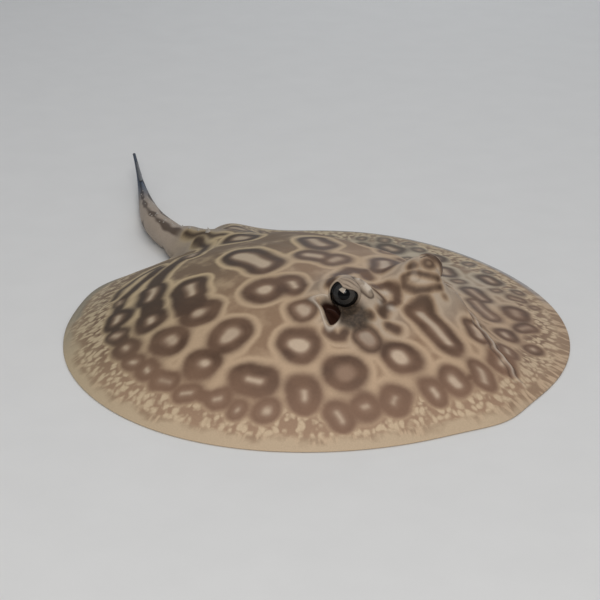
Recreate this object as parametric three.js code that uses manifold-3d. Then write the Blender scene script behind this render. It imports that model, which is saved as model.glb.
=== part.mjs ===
// A young freshwater stingray, an ocellated river ray, life size and at rest on the floor.
// Millimetres. X runs forward along the midline, Y to the animal's left and Z up. The origin
// is on the flat of the belly, on the midline, abreast of the middle of the disc.
import * as THREE from "three";
import { mergeVertices } from "three/addons/utils/BufferGeometryUtils.js";
import Module from "manifold-3d";

const wasm = await Module();
wasm.setup();

// Driving dimension: the disc is 240 mm wide. Every length marked "radii" is a share of this.
const DISC_RADIUS = 120;

// Disc, in radii. The right fin is spread a little wider than the left, so the middle of the
// disc lies to the right of the midline.
const DISC_MIDDLE_Y = -0.04;
const BACK_HEIGHT = 0.334;
const LEFT_FIN_HEIGHT = 0.17;
const RIM_THICKNESS = 0.006;
const LIFT_START = 0.6;
const FIN_ARCH = 0.03;
const REAR_CLEARANCE = 0.018;

// Tail, in radii and degrees. Its root is the stretch of the disc's rim behind the trunk.
const TAIL_ROOT_X = -0.93;
const TAIL_ROOT_HALF_ANGLE = 5.6;
const TAIL_LENGTH = 1.35;
const TAIL_TURN = 26.5;
const TAIL_TURN_LENGTH = 0.65;
const TAIL_TIP_RISE = 0.08;
const TAIL_OVAL_FROM = 0.2;

// Head, in radii and degrees. The right eye looks forward and a little up; the left one is
// rolled back and looks out to the side.
const EYE = { x: 0.385, y: 0.202, z: 0.343, radius: 0.0535 };
const LEFT_GAZE = { side: 96, up: 12 };
const RIGHT_GAZE = { side: 42, up: 18 };
const CORNEA = { radius: 0.038, forward: 0.021 };
const TURRET = { x: 0.356, y: 0.184, z: 0.3, halfLength: 0.092, halfWidth: 0.074, halfHeight: 0.092 };
const MOUND = { x: 0.345, y: 0.178, height: 0.06, spread: 0.125 };
const SPIRACLE = { x: 0.386, y: 0.262, z: 0.285, halfLength: 0.068, halfWidth: 0.03, halfDepth: 0.06 };
// Which way the long axis of the left spiracle runs, and which way it opens.
const SPIRACLE_AXIS = [0.118, 0.036, -0.06];
const SPIRACLE_OPENS = [0.25, 0.55, 0.8];
const MOUTH = { x: 0.56, halfWidth: 0.085, bow: 0.02, cornerTurn: 25 };
const GILL_SLITS = { count: 5, frontX: 0.4, rearX: 0.12, frontY: 0.2, rearY: 0.17, length: 0.06, fan: 20 };
const VENT = { x: -0.66, length: 0.07 };
const SLOT_WIDTH = 0.8;
const SLOT_DEPTH = 0.9;

// Fins of the hind end and the sting: places and lengths in radii, thickness and width in mm.
const PELVIC = { x: -0.79, y: 0.165, halfLength: 0.15, halfWidth: 0.115, corner: 0.02, thickness: 1.5 };
const STING = { start: 0.98, length: 0.25, halfWidth: 1.15, thickness: 0.9, taper: 0.6 };
const BARBS = { count: 12, from: 0.25, to: 0.95, depth: 0.3, notch: 0.1 };

// Thorns on the midline of the tail: [distance behind the root in radii, height in mm]. The
// first ones stand on the ridge of the disc, ahead of the root.
const THORNS = [[-0.11, 2.3], [-0.03, 0.8], [0.04, 1.1], [0.1, 1.3], [0.18, 0.8], [0.27, 1], [0.38, 0.8],
  [0.52, 0.8]];
// Lean of a thorn in degrees, and how far its foot goes down into the skin, in mm.
const THORN_LEAN = 20;
const THORN_FOOT = 1.2;

// Cuts between neighbouring nodes.
const CUT = 0.3;
const HEAD_REAR_X = 0.05;
const TRUNK_REAR_X = -0.945;
const LOBES_REAR_X = -1.07;
const TAIL_BASE_LENGTH = 0.45;
const TAIL_MIDDLE_END = 0.95;

// Mesh density.
const SECTORS_ROUND_DISC = 72;
const SECTORS_AT_TAIL = 7;
const RINGS_ABOVE = 14;
const RINGS_BELOW = 6;
const RINGS_ALONG_TAIL = 26;

const LONG = 4 * DISC_RADIUS;
const radians = THREE.MathUtils.degToRad;
const smooth = (from, to, value) => THREE.MathUtils.smoothstep(value, from, to);
const mix = THREE.MathUtils.lerp;
const swell = (offset, width) => Math.exp(-((offset / width) ** 2));
const turnFrom = (bearing, centre) => ((bearing - centre + 540) % 360) - 180;

// ---------------------------------------------------------------- shape of the body, in radii

// Distance from the middle of the disc to its rim, by bearing in degrees from straight ahead.
function discReach(bearing) {
  const snout = 0.03 * swell(turnFrom(bearing, 4), 8);
  const rightSide = 0.032 * swell(turnFrom(bearing, -64), 33);
  const leftSide = 0.008 * swell(turnFrom(bearing, 84), 28);
  const rightLobe = 0.018 * swell(turnFrom(bearing, -152), 10) - 0.022 * swell(turnFrom(bearing, -167), 8);
  const leftLobe = 0.022 * swell(turnFrom(bearing, 152), 20);
  const notch = 0.055 * swell(turnFrom(bearing, 177.5), 9);
  return 1 + snout + rightSide + leftSide + rightLobe + leftLobe - notch;
}

// How far the rim is off the floor: the rear of the left fin is curled up.
function rimLift(bearing) {
  const side = 0.057 * swell(turnFrom(bearing, 130), 39);
  const pastLeft = turnFrom(bearing, 90);
  const leftOfTail = pastLeft > 0 ? 1 - smooth(83, 93, pastLeft) : 0;
  const lobe = 0.1 * swell(turnFrom(bearing, 171), 13) * leftOfTail;
  const besideTail = swell(turnFrom(bearing, 179), 7.5);
  const rear = REAR_CLEARANCE * swell(turnFrom(bearing, 178), 24);
  return (side + lobe) * (1 - 0.9 * besideTail) + rear;
}

function discPlace(x, y) {
  const fromMiddle = y - DISC_MIDDLE_Y;
  const bearing = THREE.MathUtils.radToDeg(Math.atan2(fromMiddle, x));
  const share = Math.min(1, Math.hypot(x, fromMiddle) / discReach(bearing));
  return { bearing, share, fromMiddle };
}

// Upper side: a dome over the back and right fin, the lower left fin, the ridge that runs
// down into the tail, the mounds under the eyes and the shoulder beside the left one.
function upperHeight(x, y) {
  const { bearing, share, fromMiddle } = discPlace(x, y);
  const fall = 1 - share * share;
  const dome = BACK_HEIGHT * fall ** 1.05;
  const leftFin = LEFT_FIN_HEIGHT * fall;
  const flank = 0.24 + 0.1 * smooth(-0.9, -0.1, x) + 0.08 * swell(x - 0.1, 0.12);
  const plain = mix(dome, leftFin, smooth(flank - 0.12, flank + 0.16, fromMiddle));
  const ridgeHeight = 0.12 + 0.108 * smooth(-0.98, -0.55, x);
  const ridgeWidth = 0.075 + 0.22 * smooth(-0.95, -0.4, x);
  const ridge = ridgeHeight * swell(y, ridgeWidth) * (1 - smooth(-0.5, -0.15, x));
  const softness = 0.035 * smooth(0, 0.05, ridge);
  const over = ridge - plain;
  const back = plain + 0.5 * (over + Math.hypot(over, softness));
  const mound = MOUND.height * swell(Math.hypot(x - MOUND.x, Math.abs(y) - MOUND.y), MOUND.spread);
  const shoulderLength = smooth(0.3, 0.42, x) * (1 - smooth(0.44, 0.62, x));
  const shoulder = 0.055 * shoulderLength * swell(y - 0.272, 0.05);
  return back + mound + shoulder + (RIM_THICKNESS + rimLift(bearing)) * smooth(LIFT_START, 1, share);
}

// Underside: flat belly and rim, a low arch under the fins, and room for the pelvic fins.
function underHeight(x, y) {
  const { bearing, share } = discPlace(x, y);
  const arch = FIN_ARCH * Math.sin(Math.PI * smooth(0.3, 1, share)) ** 2;
  const rear = REAR_CLEARANCE * smooth(0.48, 0.62, -x);
  const lifted = rimLift(bearing) * smooth(LIFT_START, 1, share);
  return Math.max(arch * (1 - smooth(0.4, 0.6, -x)), rear, lifted);
}

// Centre line of the tail: straight back from the root, then turning to the left. Ahead of the
// root, where the distance is negative, it runs on along the midline.
function tailPlace(distance) {
  if (distance < 0) {
    return { x: TAIL_ROOT_X - distance, y: 0, heading: 0 };
  }
  const headingAt = (along) => radians(TAIL_TURN) * smooth(0, TAIL_TURN_LENGTH, along);
  const steps = 60;
  let x = TAIL_ROOT_X;
  let y = 0;
  for (let i = 0; i < steps; i += 1) {
    const heading = headingAt(((i + 0.5) / steps) * distance);
    x -= (Math.cos(heading) * distance) / steps;
    y += (Math.sin(heading) * distance) / steps;
  }
  return { x, y, heading: headingAt(distance) };
}

function tailSection(distance) {
  const whip = 0.019 * (1 - 0.62 * smooth(0.7, 1.38, distance));
  const halfHeight = mix(0.06, whip, smooth(0.22, 1.14, distance));
  const halfWidth = mix(0.072, whip, smooth(0.05, 1.14, distance));
  const middle = halfHeight + TAIL_TIP_RISE * smooth(0.71, 1.4, distance);
  return { halfHeight, halfWidth, middle };
}

// ---------------------------------------------------------------- closed shells

// Collects points and faces of one closed shell.
class Shell {
  points = [];
  faces = [];

  point(x, y, z) {
    this.points.push(x * DISC_RADIUS, y * DISC_RADIUS, z * DISC_RADIUS);
    return this.points.length / 3 - 1;
  }

  quad(a, b, c, d) {
    this.faces.push(a, b, c, a, c, d);
  }

  // Quads between two rows of points; the faces point out when the rows run anticlockwise.
  strip(inner, outer, closed) {
    const last = closed ? inner.length : inner.length - 1;
    for (let i = 0; i < last; i += 1) {
      const next = (i + 1) % inner.length;
      this.quad(inner[i], outer[i], outer[next], inner[next]);
    }
  }

  cap(middle, row) {
    row.forEach((point, i) => this.faces.push(middle, point, row[(i + 1) % row.length]));
  }

  geometry() {
    const geometry = new THREE.BufferGeometry();
    geometry.setAttribute("position", new THREE.Float32BufferAttribute(this.points, 3));
    geometry.setIndex(this.faces);
    return geometry;
  }
}

function solidFrom(geometry) {
  const bare = geometry.clone();
  bare.deleteAttribute("normal");
  bare.deleteAttribute("uv");
  const merged = mergeVertices(bare, 1e-4);
  const vertProperties = new Float32Array(merged.getAttribute("position").array);
  const triVerts = new Uint32Array(merged.getIndex().array);
  return new wasm.Manifold(new wasm.Mesh({ numProp: 3, vertProperties, triVerts }));
}

function geometryFrom(solid) {
  const mesh = solid.getMesh();
  const geometry = new THREE.BufferGeometry();
  geometry.setAttribute("position", new THREE.BufferAttribute(mesh.vertProperties, 3));
  geometry.setIndex(new THREE.BufferAttribute(mesh.triVerts, 1));
  return geometry;
}

// Bearings of the sectors: the first ones span the root of the tail, the rest the disc.
function sectorBearings() {
  const root = 180 + THREE.MathUtils.radToDeg(Math.atan2(DISC_MIDDLE_Y, -TAIL_ROOT_X));
  const bearings = [];
  for (let i = 0; i < SECTORS_AT_TAIL; i += 1) {
    bearings.push(root + TAIL_ROOT_HALF_ANGLE * ((2 * i) / SECTORS_AT_TAIL - 1));
  }
  for (let i = 0; i < SECTORS_ROUND_DISC; i += 1) {
    const span = 360 - 2 * TAIL_ROOT_HALF_ANGLE;
    bearings.push(root + TAIL_ROOT_HALF_ANGLE + (span * i) / SECTORS_ROUND_DISC);
  }
  return bearings.map((bearing) => turnFrom(bearing, 0));
}

// The disc and the tail in one shell.
function discAndTail() {
  const shell = new Shell();
  const bearings = sectorBearings();
  const row = (share, height) => bearings.map((bearing) => {
    const reach = discReach(bearing) * share;
    const x = reach * Math.cos(radians(bearing));
    const y = reach * Math.sin(radians(bearing)) + DISC_MIDDLE_Y;
    return shell.point(x, y, height(x, y));
  });
  const above = [];
  for (let i = 1; i <= RINGS_ABOVE; i += 1) {
    above.push(row((i / RINGS_ABOVE) ** 0.9, upperHeight));
  }
  const below = [];
  for (let i = 1; i <= RINGS_BELOW; i += 1) {
    below.push(row((i / RINGS_BELOW) ** 0.8, underHeight));
  }
  const crown = shell.point(0, DISC_MIDDLE_Y, upperHeight(0, DISC_MIDDLE_Y));
  const belly = shell.point(0, DISC_MIDDLE_Y, underHeight(0, DISC_MIDDLE_Y));
  shell.cap(crown, above[0]);
  shell.cap(belly, below[0].slice().reverse());
  for (let i = 1; i < RINGS_ABOVE; i += 1) {
    shell.strip(above[i - 1], above[i], true);
  }
  for (let i = 1; i < RINGS_BELOW; i += 1) {
    shell.strip(below[i], below[i - 1], true);
  }
  const upperRim = above.at(-1);
  const lowerRim = below.at(-1);
  const afterTail = (rim) => [...rim.slice(SECTORS_AT_TAIL), rim[0]];
  shell.strip(afterTail(upperRim), afterTail(lowerRim), false);

  const atTail = (rim) => rim.slice(0, SECTORS_AT_TAIL + 1);
  const root = [...atTail(upperRim), ...atTail(lowerRim).reverse()];
  const rootPoints = root.map((point) => new THREE.Vector3().fromArray(shell.points, point * 3));
  let previous = root;
  for (let i = 1; i <= RINGS_ALONG_TAIL; i += 1) {
    const ring = tailRing(shell, rootPoints, TAIL_LENGTH * (i / RINGS_ALONG_TAIL) ** 1.15);
    shell.strip(previous, ring, true);
    previous = ring;
  }
  const end = tailPlace(TAIL_LENGTH + 0.02);
  shell.cap(shell.point(end.x, end.y, tailSection(TAIL_LENGTH).middle), previous.slice().reverse());
  return shell.geometry();
}

// One ring of the tail: the outline of the root, turning into an oval within a short way.
function tailRing(shell, rootPoints, distance) {
  const { x, y, heading } = tailPlace(distance);
  const { halfHeight, halfWidth, middle } = tailSection(distance);
  const oval = smooth(0, TAIL_OVAL_FROM, distance);
  return rootPoints.map((rootPoint, i) => {
    const angle = (Math.PI * (i + 0.5)) / (rootPoints.length / 2);
    const side = mix(rootPoint.y / DISC_RADIUS, halfWidth * Math.cos(angle), oval);
    const height = mix(rootPoint.z / DISC_RADIUS, middle + halfHeight * Math.sin(angle), oval);
    const back = mix(TAIL_ROOT_X - rootPoint.x / DISC_RADIUS, 0, oval);
    return shell.point(x + side * Math.sin(heading) - back, y + side * Math.cos(heading), height);
  });
}

// ---------------------------------------------------------------- pieces added and cut

function moved(geometry, x, y, z) {
  return geometry.translate(x * DISC_RADIUS, y * DISC_RADIUS, z * DISC_RADIUS);
}

// The raised mound that carries an eye; side is 1 on the left and -1 on the right.
function turret(side) {
  const ball = new THREE.SphereGeometry(DISC_RADIUS, 18, 10);
  ball.scale(TURRET.halfLength, TURRET.halfWidth, TURRET.halfHeight);
  return solidFrom(moved(ball, TURRET.x, side * TURRET.y, TURRET.z));
}

// The opening behind an eye: it slants down and forward, and sinks in from above and outside.
function spiracleHollow(side) {
  const ball = new THREE.SphereGeometry(DISC_RADIUS, 14, 8);
  ball.scale(SPIRACLE.halfLength, SPIRACLE.halfWidth, SPIRACLE.halfDepth);
  const mirrored = ([x, y, z]) => new THREE.Vector3(x, side * y, z);
  const along = mirrored(SPIRACLE_AXIS).normalize();
  const across = mirrored(SPIRACLE_OPENS).cross(along).normalize();
  const outward = new THREE.Vector3().crossVectors(along, across);
  ball.applyMatrix4(new THREE.Matrix4().makeBasis(along, across, outward));
  return solidFrom(moved(ball, SPIRACLE.x, side * SPIRACLE.y, SPIRACLE.z));
}

// An eyeball with its cornea; grow widens it to make the socket.
function eyeball(side, grow) {
  const look = side > 0 ? LEFT_GAZE : RIGHT_GAZE;
  const gaze = new THREE.Vector3(Math.cos(radians(look.up)), 0, Math.sin(radians(look.up)));
  gaze.applyAxisAngle(new THREE.Vector3(0, 0, 1), side * radians(look.side)).multiplyScalar(CORNEA.forward);
  const globe = new THREE.SphereGeometry(EYE.radius * DISC_RADIUS + grow, 18, 12);
  const cornea = new THREE.SphereGeometry(CORNEA.radius * DISC_RADIUS + grow, 14, 8);
  const lens = moved(cornea, EYE.x + gaze.x, side * EYE.y + gaze.y, EYE.z + gaze.z);
  return solidFrom(moved(globe, EYE.x, side * EYE.y, EYE.z)).add(solidFrom(lens));
}

// A narrow groove in the underside, centred on x, y and turned by a bearing.
function groove(x, y, length, bearing) {
  const barHeight = 4;
  const bar = new THREE.BoxGeometry(length * DISC_RADIUS, SLOT_WIDTH, barHeight);
  bar.rotateZ(radians(bearing));
  return solidFrom(moved(bar, x, y, underHeight(x, y) + (SLOT_DEPTH - barHeight / 2) / DISC_RADIUS));
}

function mouth() {
  const across = MOUTH.halfWidth;
  const bowed = groove(MOUTH.x + MOUTH.bow / 2, 0, across, 90);
  const corner = (side) => groove(MOUTH.x, side * 0.7 * across, 0.8 * across, 90 + side * MOUTH.cornerTurn);
  return bowed.add(corner(1)).add(corner(-1));
}

function gillSlits(side) {
  const slits = [];
  for (let i = 0; i < GILL_SLITS.count; i += 1) {
    const share = i / (GILL_SLITS.count - 1);
    const x = mix(GILL_SLITS.frontX, GILL_SLITS.rearX, share);
    const y = side * mix(GILL_SLITS.frontY, GILL_SLITS.rearY, share);
    const bearing = 90 + mix(-GILL_SLITS.fan, GILL_SLITS.fan, share);
    slits.push(groove(x, y, GILL_SLITS.length, side * bearing));
  }
  return slits.reduce((all, slit) => all.add(slit));
}

// Height of the skin on the midline: the ridge of the disc, then the top of the tail.
function tailTop(distance) {
  const { halfHeight, middle } = tailSection(distance);
  const oval = smooth(0, TAIL_OVAL_FROM, distance);
  const ridge = upperHeight(TAIL_ROOT_X - Math.min(0, distance), 0);
  return mix(ridge, middle + halfHeight, oval);
}

function thorn([distance, height]) {
  const { x, y } = tailPlace(distance);
  const cone = new THREE.ConeGeometry(0.55 * height + 0.3, height + THORN_FOOT, 7);
  cone.rotateX(Math.PI / 2).rotateY(radians(-THORN_LEAN));
  return solidFrom(moved(cone, x, y, tailTop(distance) + (height - THORN_FOOT) / 2 / DISC_RADIUS));
}

function wholeBody() {
  let body = solidFrom(discAndTail()).add(turret(1)).add(turret(-1));
  THORNS.forEach((entry) => {
    body = body.add(thorn(entry));
  });
  const hollows = [mouth(), groove(VENT.x, 0, VENT.length, 0)];
  [1, -1].forEach((side) => {
    hollows.push(spiracleHollow(side), eyeball(side, CUT), gillSlits(side));
  });
  return hollows.reduce((left, hollow) => left.subtract(hollow), body);
}

// ---------------------------------------------------------------- regions that part the body

// Half the width of the central part, from the snout to the root of the tail, in radii.
function centralHalfWidth(x) {
  return 0.11 + 0.26 * Math.exp(-(((x - 0.1) / 0.68) ** 4));
}

function prism(outline) {
  const corners = outline.map(([x, y]) => new THREE.Vector2(x * DISC_RADIUS, y * DISC_RADIUS));
  const shape = new THREE.Shape(corners);
  const block = new THREE.ExtrudeGeometry(shape, { depth: DISC_RADIUS, bevelEnabled: false });
  return solidFrom(block.translate(0, 0, -DISC_RADIUS / 4));
}

// The central part, from behind the disc to ahead of the snout, widened by grow mm each side.
function centralRegion(grow) {
  const steps = 26;
  const outline = [];
  for (let i = 0; i <= steps; i += 1) {
    const x = mix(LOBES_REAR_X, 1.2, i / steps);
    outline.push([x, -centralHalfWidth(x) - grow / DISC_RADIUS]);
  }
  const mirrored = outline.map(([x, y]) => [x, -y]).reverse();
  return prism([...outline, ...mirrored]);
}

// All of space ahead of a station on the midline; shift moves the cut forward, in mm.
function aheadOf(x, shift) {
  const block = new THREE.BoxGeometry(LONG, LONG, LONG);
  return solidFrom(block.translate(x * DISC_RADIUS + shift + LONG / 2, 0, 0));
}

// Everything behind the lobes of the disc, with the root of the tail.
function tailRegion(front, grow) {
  const half = centralHalfWidth(LOBES_REAR_X) + grow / DISC_RADIUS;
  const edge = LOBES_REAR_X + grow / DISC_RADIUS;
  const right = [[front, -half], [edge, -half], [edge, -1.4], [-2.6, -1.4]];
  return prism([...right, ...right.map(([x, y]) => [x, -y]).reverse()].reverse());
}

// All of space behind one station of the tail, square to the tail.
function behindStation(distance, shift) {
  const { x, y, heading } = tailPlace(distance);
  const block = new THREE.BoxGeometry(LONG, LONG, LONG).translate(-LONG / 2 - shift, 0, 0);
  block.rotateZ(-heading);
  return solidFrom(moved(block, x, y, 0));
}

function sideRegion(side) {
  const block = new THREE.BoxGeometry(LONG, LONG, LONG);
  return solidFrom(block.translate(0, (side * LONG) / 2, 0));
}

// ---------------------------------------------------------------- pieces that stand alone

// A pelvic fin lies flat under the rear of the disc beside the tail, its rear outer corner a
// little drawn out.
function pelvicFin(side) {
  const steps = 24;
  const outline = [];
  for (let i = 0; i < steps; i += 1) {
    const turn = (360 * i) / steps;
    const corner = PELVIC.corner * swell(turnFrom(turn, 135), 30);
    const x = PELVIC.x + (PELVIC.halfLength + corner) * Math.cos(radians(turn));
    const y = PELVIC.y + (PELVIC.halfWidth + corner) * Math.sin(radians(turn));
    outline.push(new THREE.Vector2(x * DISC_RADIUS, side * y * DISC_RADIUS));
  }
  const shape = new THREE.Shape(outline);
  return new THREE.ExtrudeGeometry(shape, { depth: PELVIC.thickness, bevelEnabled: false });
}

// The sting: a flat blade with barbs that point back to its base. It lies on top of the tail and
// follows its slope.
function sting() {
  const length = STING.length * DISC_RADIUS;
  const edge = [];
  for (let i = 0; i < BARBS.count; i += 1) {
    const share = mix(BARBS.from, BARBS.to, i / BARBS.count);
    const half = STING.halfWidth * (1 - share) ** STING.taper;
    const along = share * length;
    edge.push([along, half + BARBS.depth], [along + BARBS.depth / 4, half - BARBS.notch]);
  }
  const rim = [[0, STING.halfWidth * 0.9], ...edge];
  const outline = [...rim, [length, 0.05], [length, -0.05], ...rim.map(([x, y]) => [x, -y]).reverse()];
  const shape = new THREE.Shape(outline.map(([x, y]) => new THREE.Vector2(-x, y)));
  const blade = new THREE.ExtrudeGeometry(shape, { depth: STING.thickness, bevelEnabled: false });
  const { x, y, heading } = tailPlace(STING.start);
  const rise = Math.atan2(tailTop(STING.start + STING.length) - tailTop(STING.start), STING.length);
  blade.rotateY(rise).rotateZ(-heading);
  return moved(blade, x, y, tailTop(STING.start) + CUT / DISC_RADIUS);
}

// ---------------------------------------------------------------- nodes

const SKIN = { color: 0x8d7762, roughness: 0.5, metalness: 0 };
const FIN = { color: 0xa3907a, roughness: 0.5, metalness: 0 };
const TAIL = { color: 0x7d756d, roughness: 0.5, metalness: 0 };
const EYEBALL = { color: 0x20201f, roughness: 0.1, metalness: 0 };
const BONE = { color: 0xcfc6b4, roughness: 0.4, metalness: 0 };

const stingray = new THREE.Group();

function addNode(name, geometry, look) {
  geometry.computeVertexNormals();
  const mesh = new THREE.Mesh(geometry, new THREE.MeshStandardMaterial(look));
  mesh.name = name;
  stingray.add(mesh);
}

function addBodyNodes() {
  const body = wholeBody();
  const half = CUT / 2;
  const central = body.intersect(centralRegion(-half));
  const head = central.intersect(aheadOf(HEAD_REAR_X, half));
  const trunk = central.subtract(aheadOf(HEAD_REAR_X, -half)).intersect(aheadOf(TRUNK_REAR_X, half));
  const fins = body.subtract(centralRegion(half)).subtract(tailRegion(LOBES_REAR_X, half));
  const tail = body.intersect(tailRegion(TRUNK_REAR_X, -half)).subtract(aheadOf(TRUNK_REAR_X, -half));
  addNode("head", geometryFrom(head), SKIN);
  addNode("trunk", geometryFrom(trunk), SKIN);
  addNode("pectoral_fin_left", geometryFrom(fins.intersect(sideRegion(1))), FIN);
  addNode("pectoral_fin_right", geometryFrom(fins.intersect(sideRegion(-1))), FIN);

  const lengths = [["tail_base", 0, TAIL_BASE_LENGTH], ["tail_middle", TAIL_BASE_LENGTH, TAIL_MIDDLE_END],
    ["tail_tip", TAIL_MIDDLE_END, TAIL_LENGTH]];
  lengths.forEach(([name, from, to]) => {
    const whole = from > 0 ? tail.intersect(behindStation(from, half)) : tail;
    const piece = to < TAIL_LENGTH ? whole.subtract(behindStation(to, -half)) : whole;
    addNode(name, geometryFrom(piece), TAIL);
  });
}

addBodyNodes();
[["left", 1], ["right", -1]].forEach(([word, side]) => {
  addNode(`pelvic_fin_${word}`, pelvicFin(side), FIN);
  addNode(`eye_${word}`, geometryFrom(eyeball(side, 0)), EYEBALL);
});
addNode("sting", sting(), BONE);

export default stingray;
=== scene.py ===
import math

import bpy
import numpy as np
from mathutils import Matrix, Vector


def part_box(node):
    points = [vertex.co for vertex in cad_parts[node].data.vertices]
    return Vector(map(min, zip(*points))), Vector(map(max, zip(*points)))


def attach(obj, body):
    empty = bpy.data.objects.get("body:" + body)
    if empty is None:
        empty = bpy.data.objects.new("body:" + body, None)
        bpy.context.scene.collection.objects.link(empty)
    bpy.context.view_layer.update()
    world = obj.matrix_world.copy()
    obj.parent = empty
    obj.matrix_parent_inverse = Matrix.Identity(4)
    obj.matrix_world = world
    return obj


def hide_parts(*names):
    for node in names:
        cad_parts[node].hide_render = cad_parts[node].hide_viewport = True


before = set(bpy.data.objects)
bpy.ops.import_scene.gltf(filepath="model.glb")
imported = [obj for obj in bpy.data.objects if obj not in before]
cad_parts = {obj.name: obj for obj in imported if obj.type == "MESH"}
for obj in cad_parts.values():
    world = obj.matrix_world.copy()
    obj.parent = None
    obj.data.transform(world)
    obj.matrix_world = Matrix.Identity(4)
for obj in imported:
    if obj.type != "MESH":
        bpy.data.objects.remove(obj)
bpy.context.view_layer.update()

# ---- body: disc
# The body of a river ray is one flat disc: head, trunk and the two broad fins grown together,
# all under one soft skin. It is worked out in radii, shares of half the width of the disc,
# looking down on the animal: x forward on the midline, y to its left, z up from the floor.

DISC_WIDTH = 2.0251
MIDDLE_Y = -0.04
RIM_THICKNESS = 0.006
LIFT_START = 0.6

left_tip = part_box("pectoral_fin_left")[1][1]
right_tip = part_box("pectoral_fin_right")[0][1]
RADIUS = (left_tip - right_tip) / DISC_WIDTH


def smooth(start, end, value):
    """From 0 at the start to 1 at the end without a corner; the start may be the larger."""
    share = np.clip((value - start) / (end - start), 0.0, 1.0)
    return share * share * (3.0 - 2.0 * share)


def swell(offset, width):
    return np.exp(-(offset / width) ** 2)


def mix(first, second, share):
    return first + (second - first) * share


def turn_from(bearing, centre):
    return (bearing - centre + 540.0) % 360.0 - 180.0


def waver(place, span, seed):
    """Gentle unevenness between about -1 and 1: crossing waves, each about one span long."""
    draw = np.random.default_rng(seed)
    total = np.zeros(len(place))
    for _ in range(7):
        way = draw.normal(size=3)
        way *= 2.0 * math.pi * draw.uniform(0.6, 1.5) / (span * np.linalg.norm(way))
        total += np.sin(place @ way + draw.uniform(0.0, 2.0 * math.pi))
    return total / 3.0


# Where the rim stands out from a circle or is drawn in: by how much, at which bearing in
# degrees from straight ahead (plus is to the left), and how wide.
RIM_SWELLS = {
    "snout": (0.03, 4.0, 8.0),
    "right side": (0.032, -64.0, 33.0),
    "left side": (0.008, 84.0, 28.0),
    "right lobe": (0.018, -152.0, 10.0),
    "between right lobe and tail": (-0.022, -167.0, 8.0),
    "left lobe": (0.022, 152.0, 20.0),
    "notch at the tail": (-0.055, 177.5, 9.0),
}


def swell_at(bearing, centre, width):
    return swell(turn_from(bearing, centre), width)


def disc_reach(bearing):
    """From the middle of the disc to its rim, by bearing."""
    return 1.0 + sum(out * swell_at(bearing, centre, width) for out, centre, width in RIM_SWELLS.values())


# How high the rim curls off the floor beside the left fin, at the lobe behind it and at the tail.
SIDE_CURL = 0.057
LOBE_CURL = 0.1
REAR_CURL = 0.018


def rim_lift(bearing):
    """How far the rim is off the floor: the rear of the left fin curls up."""
    past_side = turn_from(bearing, 90.0)
    left_of_tail = np.where(past_side > 0.0, smooth(93.0, 83.0, past_side), 0.0)
    side = SIDE_CURL * swell_at(bearing, 130.0, 39.0)
    lobe = LOBE_CURL * swell_at(bearing, 171.0, 13.0) * left_of_tail
    rear = REAR_CURL * swell_at(bearing, 178.0, 24.0)
    return (side + lobe) * (1.0 - 0.9 * swell_at(bearing, 179.0, 7.5)) + rear


def disc_place(x, y):
    from_middle = y - MIDDLE_Y
    bearing = np.degrees(np.arctan2(from_middle, x))
    share = np.minimum(1.0, np.hypot(x, from_middle) / disc_reach(bearing))
    return bearing, share, from_middle


DOME_HEIGHT = 0.334
LEFT_FIN_HEIGHT = 0.17
FLANK_Y = 0.24
EYE_MOUND_HEIGHT = 0.06
EYE_MOUND_WIDTH = 0.125
SHOULDER_HEIGHT = 0.055
ARCH_HEIGHT = 0.03
PELVIC_ROOM = 0.018


def upper_height(x, y):
    """A dome over the back and right fin, the lower left fin, and the ridge into the tail."""
    bearing, share, from_middle = disc_place(x, y)
    fall = 1.0 - share * share
    flank = FLANK_Y + 0.1 * smooth(-0.9, -0.1, x) + 0.08 * swell(x - 0.1, 0.12)
    over_flank = smooth(flank - 0.12, flank + 0.16, from_middle)
    plain = mix(DOME_HEIGHT * fall ** 1.05, LEFT_FIN_HEIGHT * fall, over_flank)
    ridge_height = (0.12 + 0.108 * smooth(-0.98, -0.55, x)) * smooth(-0.15, -0.5, x)
    ridge = ridge_height * swell(y, 0.075 + 0.22 * smooth(-0.95, -0.4, x))
    over = ridge - plain
    back = plain + 0.5 * (over + np.hypot(over, 0.035 * smooth(0.0, 0.05, ridge)))
    mound = EYE_MOUND_HEIGHT * swell(np.hypot(x - 0.345, np.abs(y) - 0.178), EYE_MOUND_WIDTH)
    beside_eye = smooth(0.30, 0.42, x) * smooth(0.62, 0.44, x) * swell(y - 0.272, 0.05)
    rim = (RIM_THICKNESS + rim_lift(bearing)) * smooth(LIFT_START, 1.0, share)
    return back + mound + SHOULDER_HEIGHT * beside_eye + rim


def under_height(x, y):
    """Flat belly and rim, a low arch under the fins, and room for the fins of the hind end."""
    bearing, share, _ = disc_place(x, y)
    arch = ARCH_HEIGHT * np.sin(math.pi * smooth(0.3, 1.0, share)) ** 2 * smooth(0.6, 0.4, -x)
    room = PELVIC_ROOM * smooth(0.48, 0.62, -x)
    lifted = rim_lift(bearing) * smooth(LIFT_START, 1.0, share)
    return np.maximum(arch, np.maximum(room, lifted))


# Sectors round the disc, in degrees: first the ones over the root of the tail, then the rest,
# closest together in front where the eyes and the openings behind them are.
TAIL_ROOT_X = -0.93
TAIL_ROOT_HALF_ANGLE = 5.6
TAIL_SECTORS = 40
HEAD_SECTOR = 0.17
FIN_SECTOR = 0.29

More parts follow.
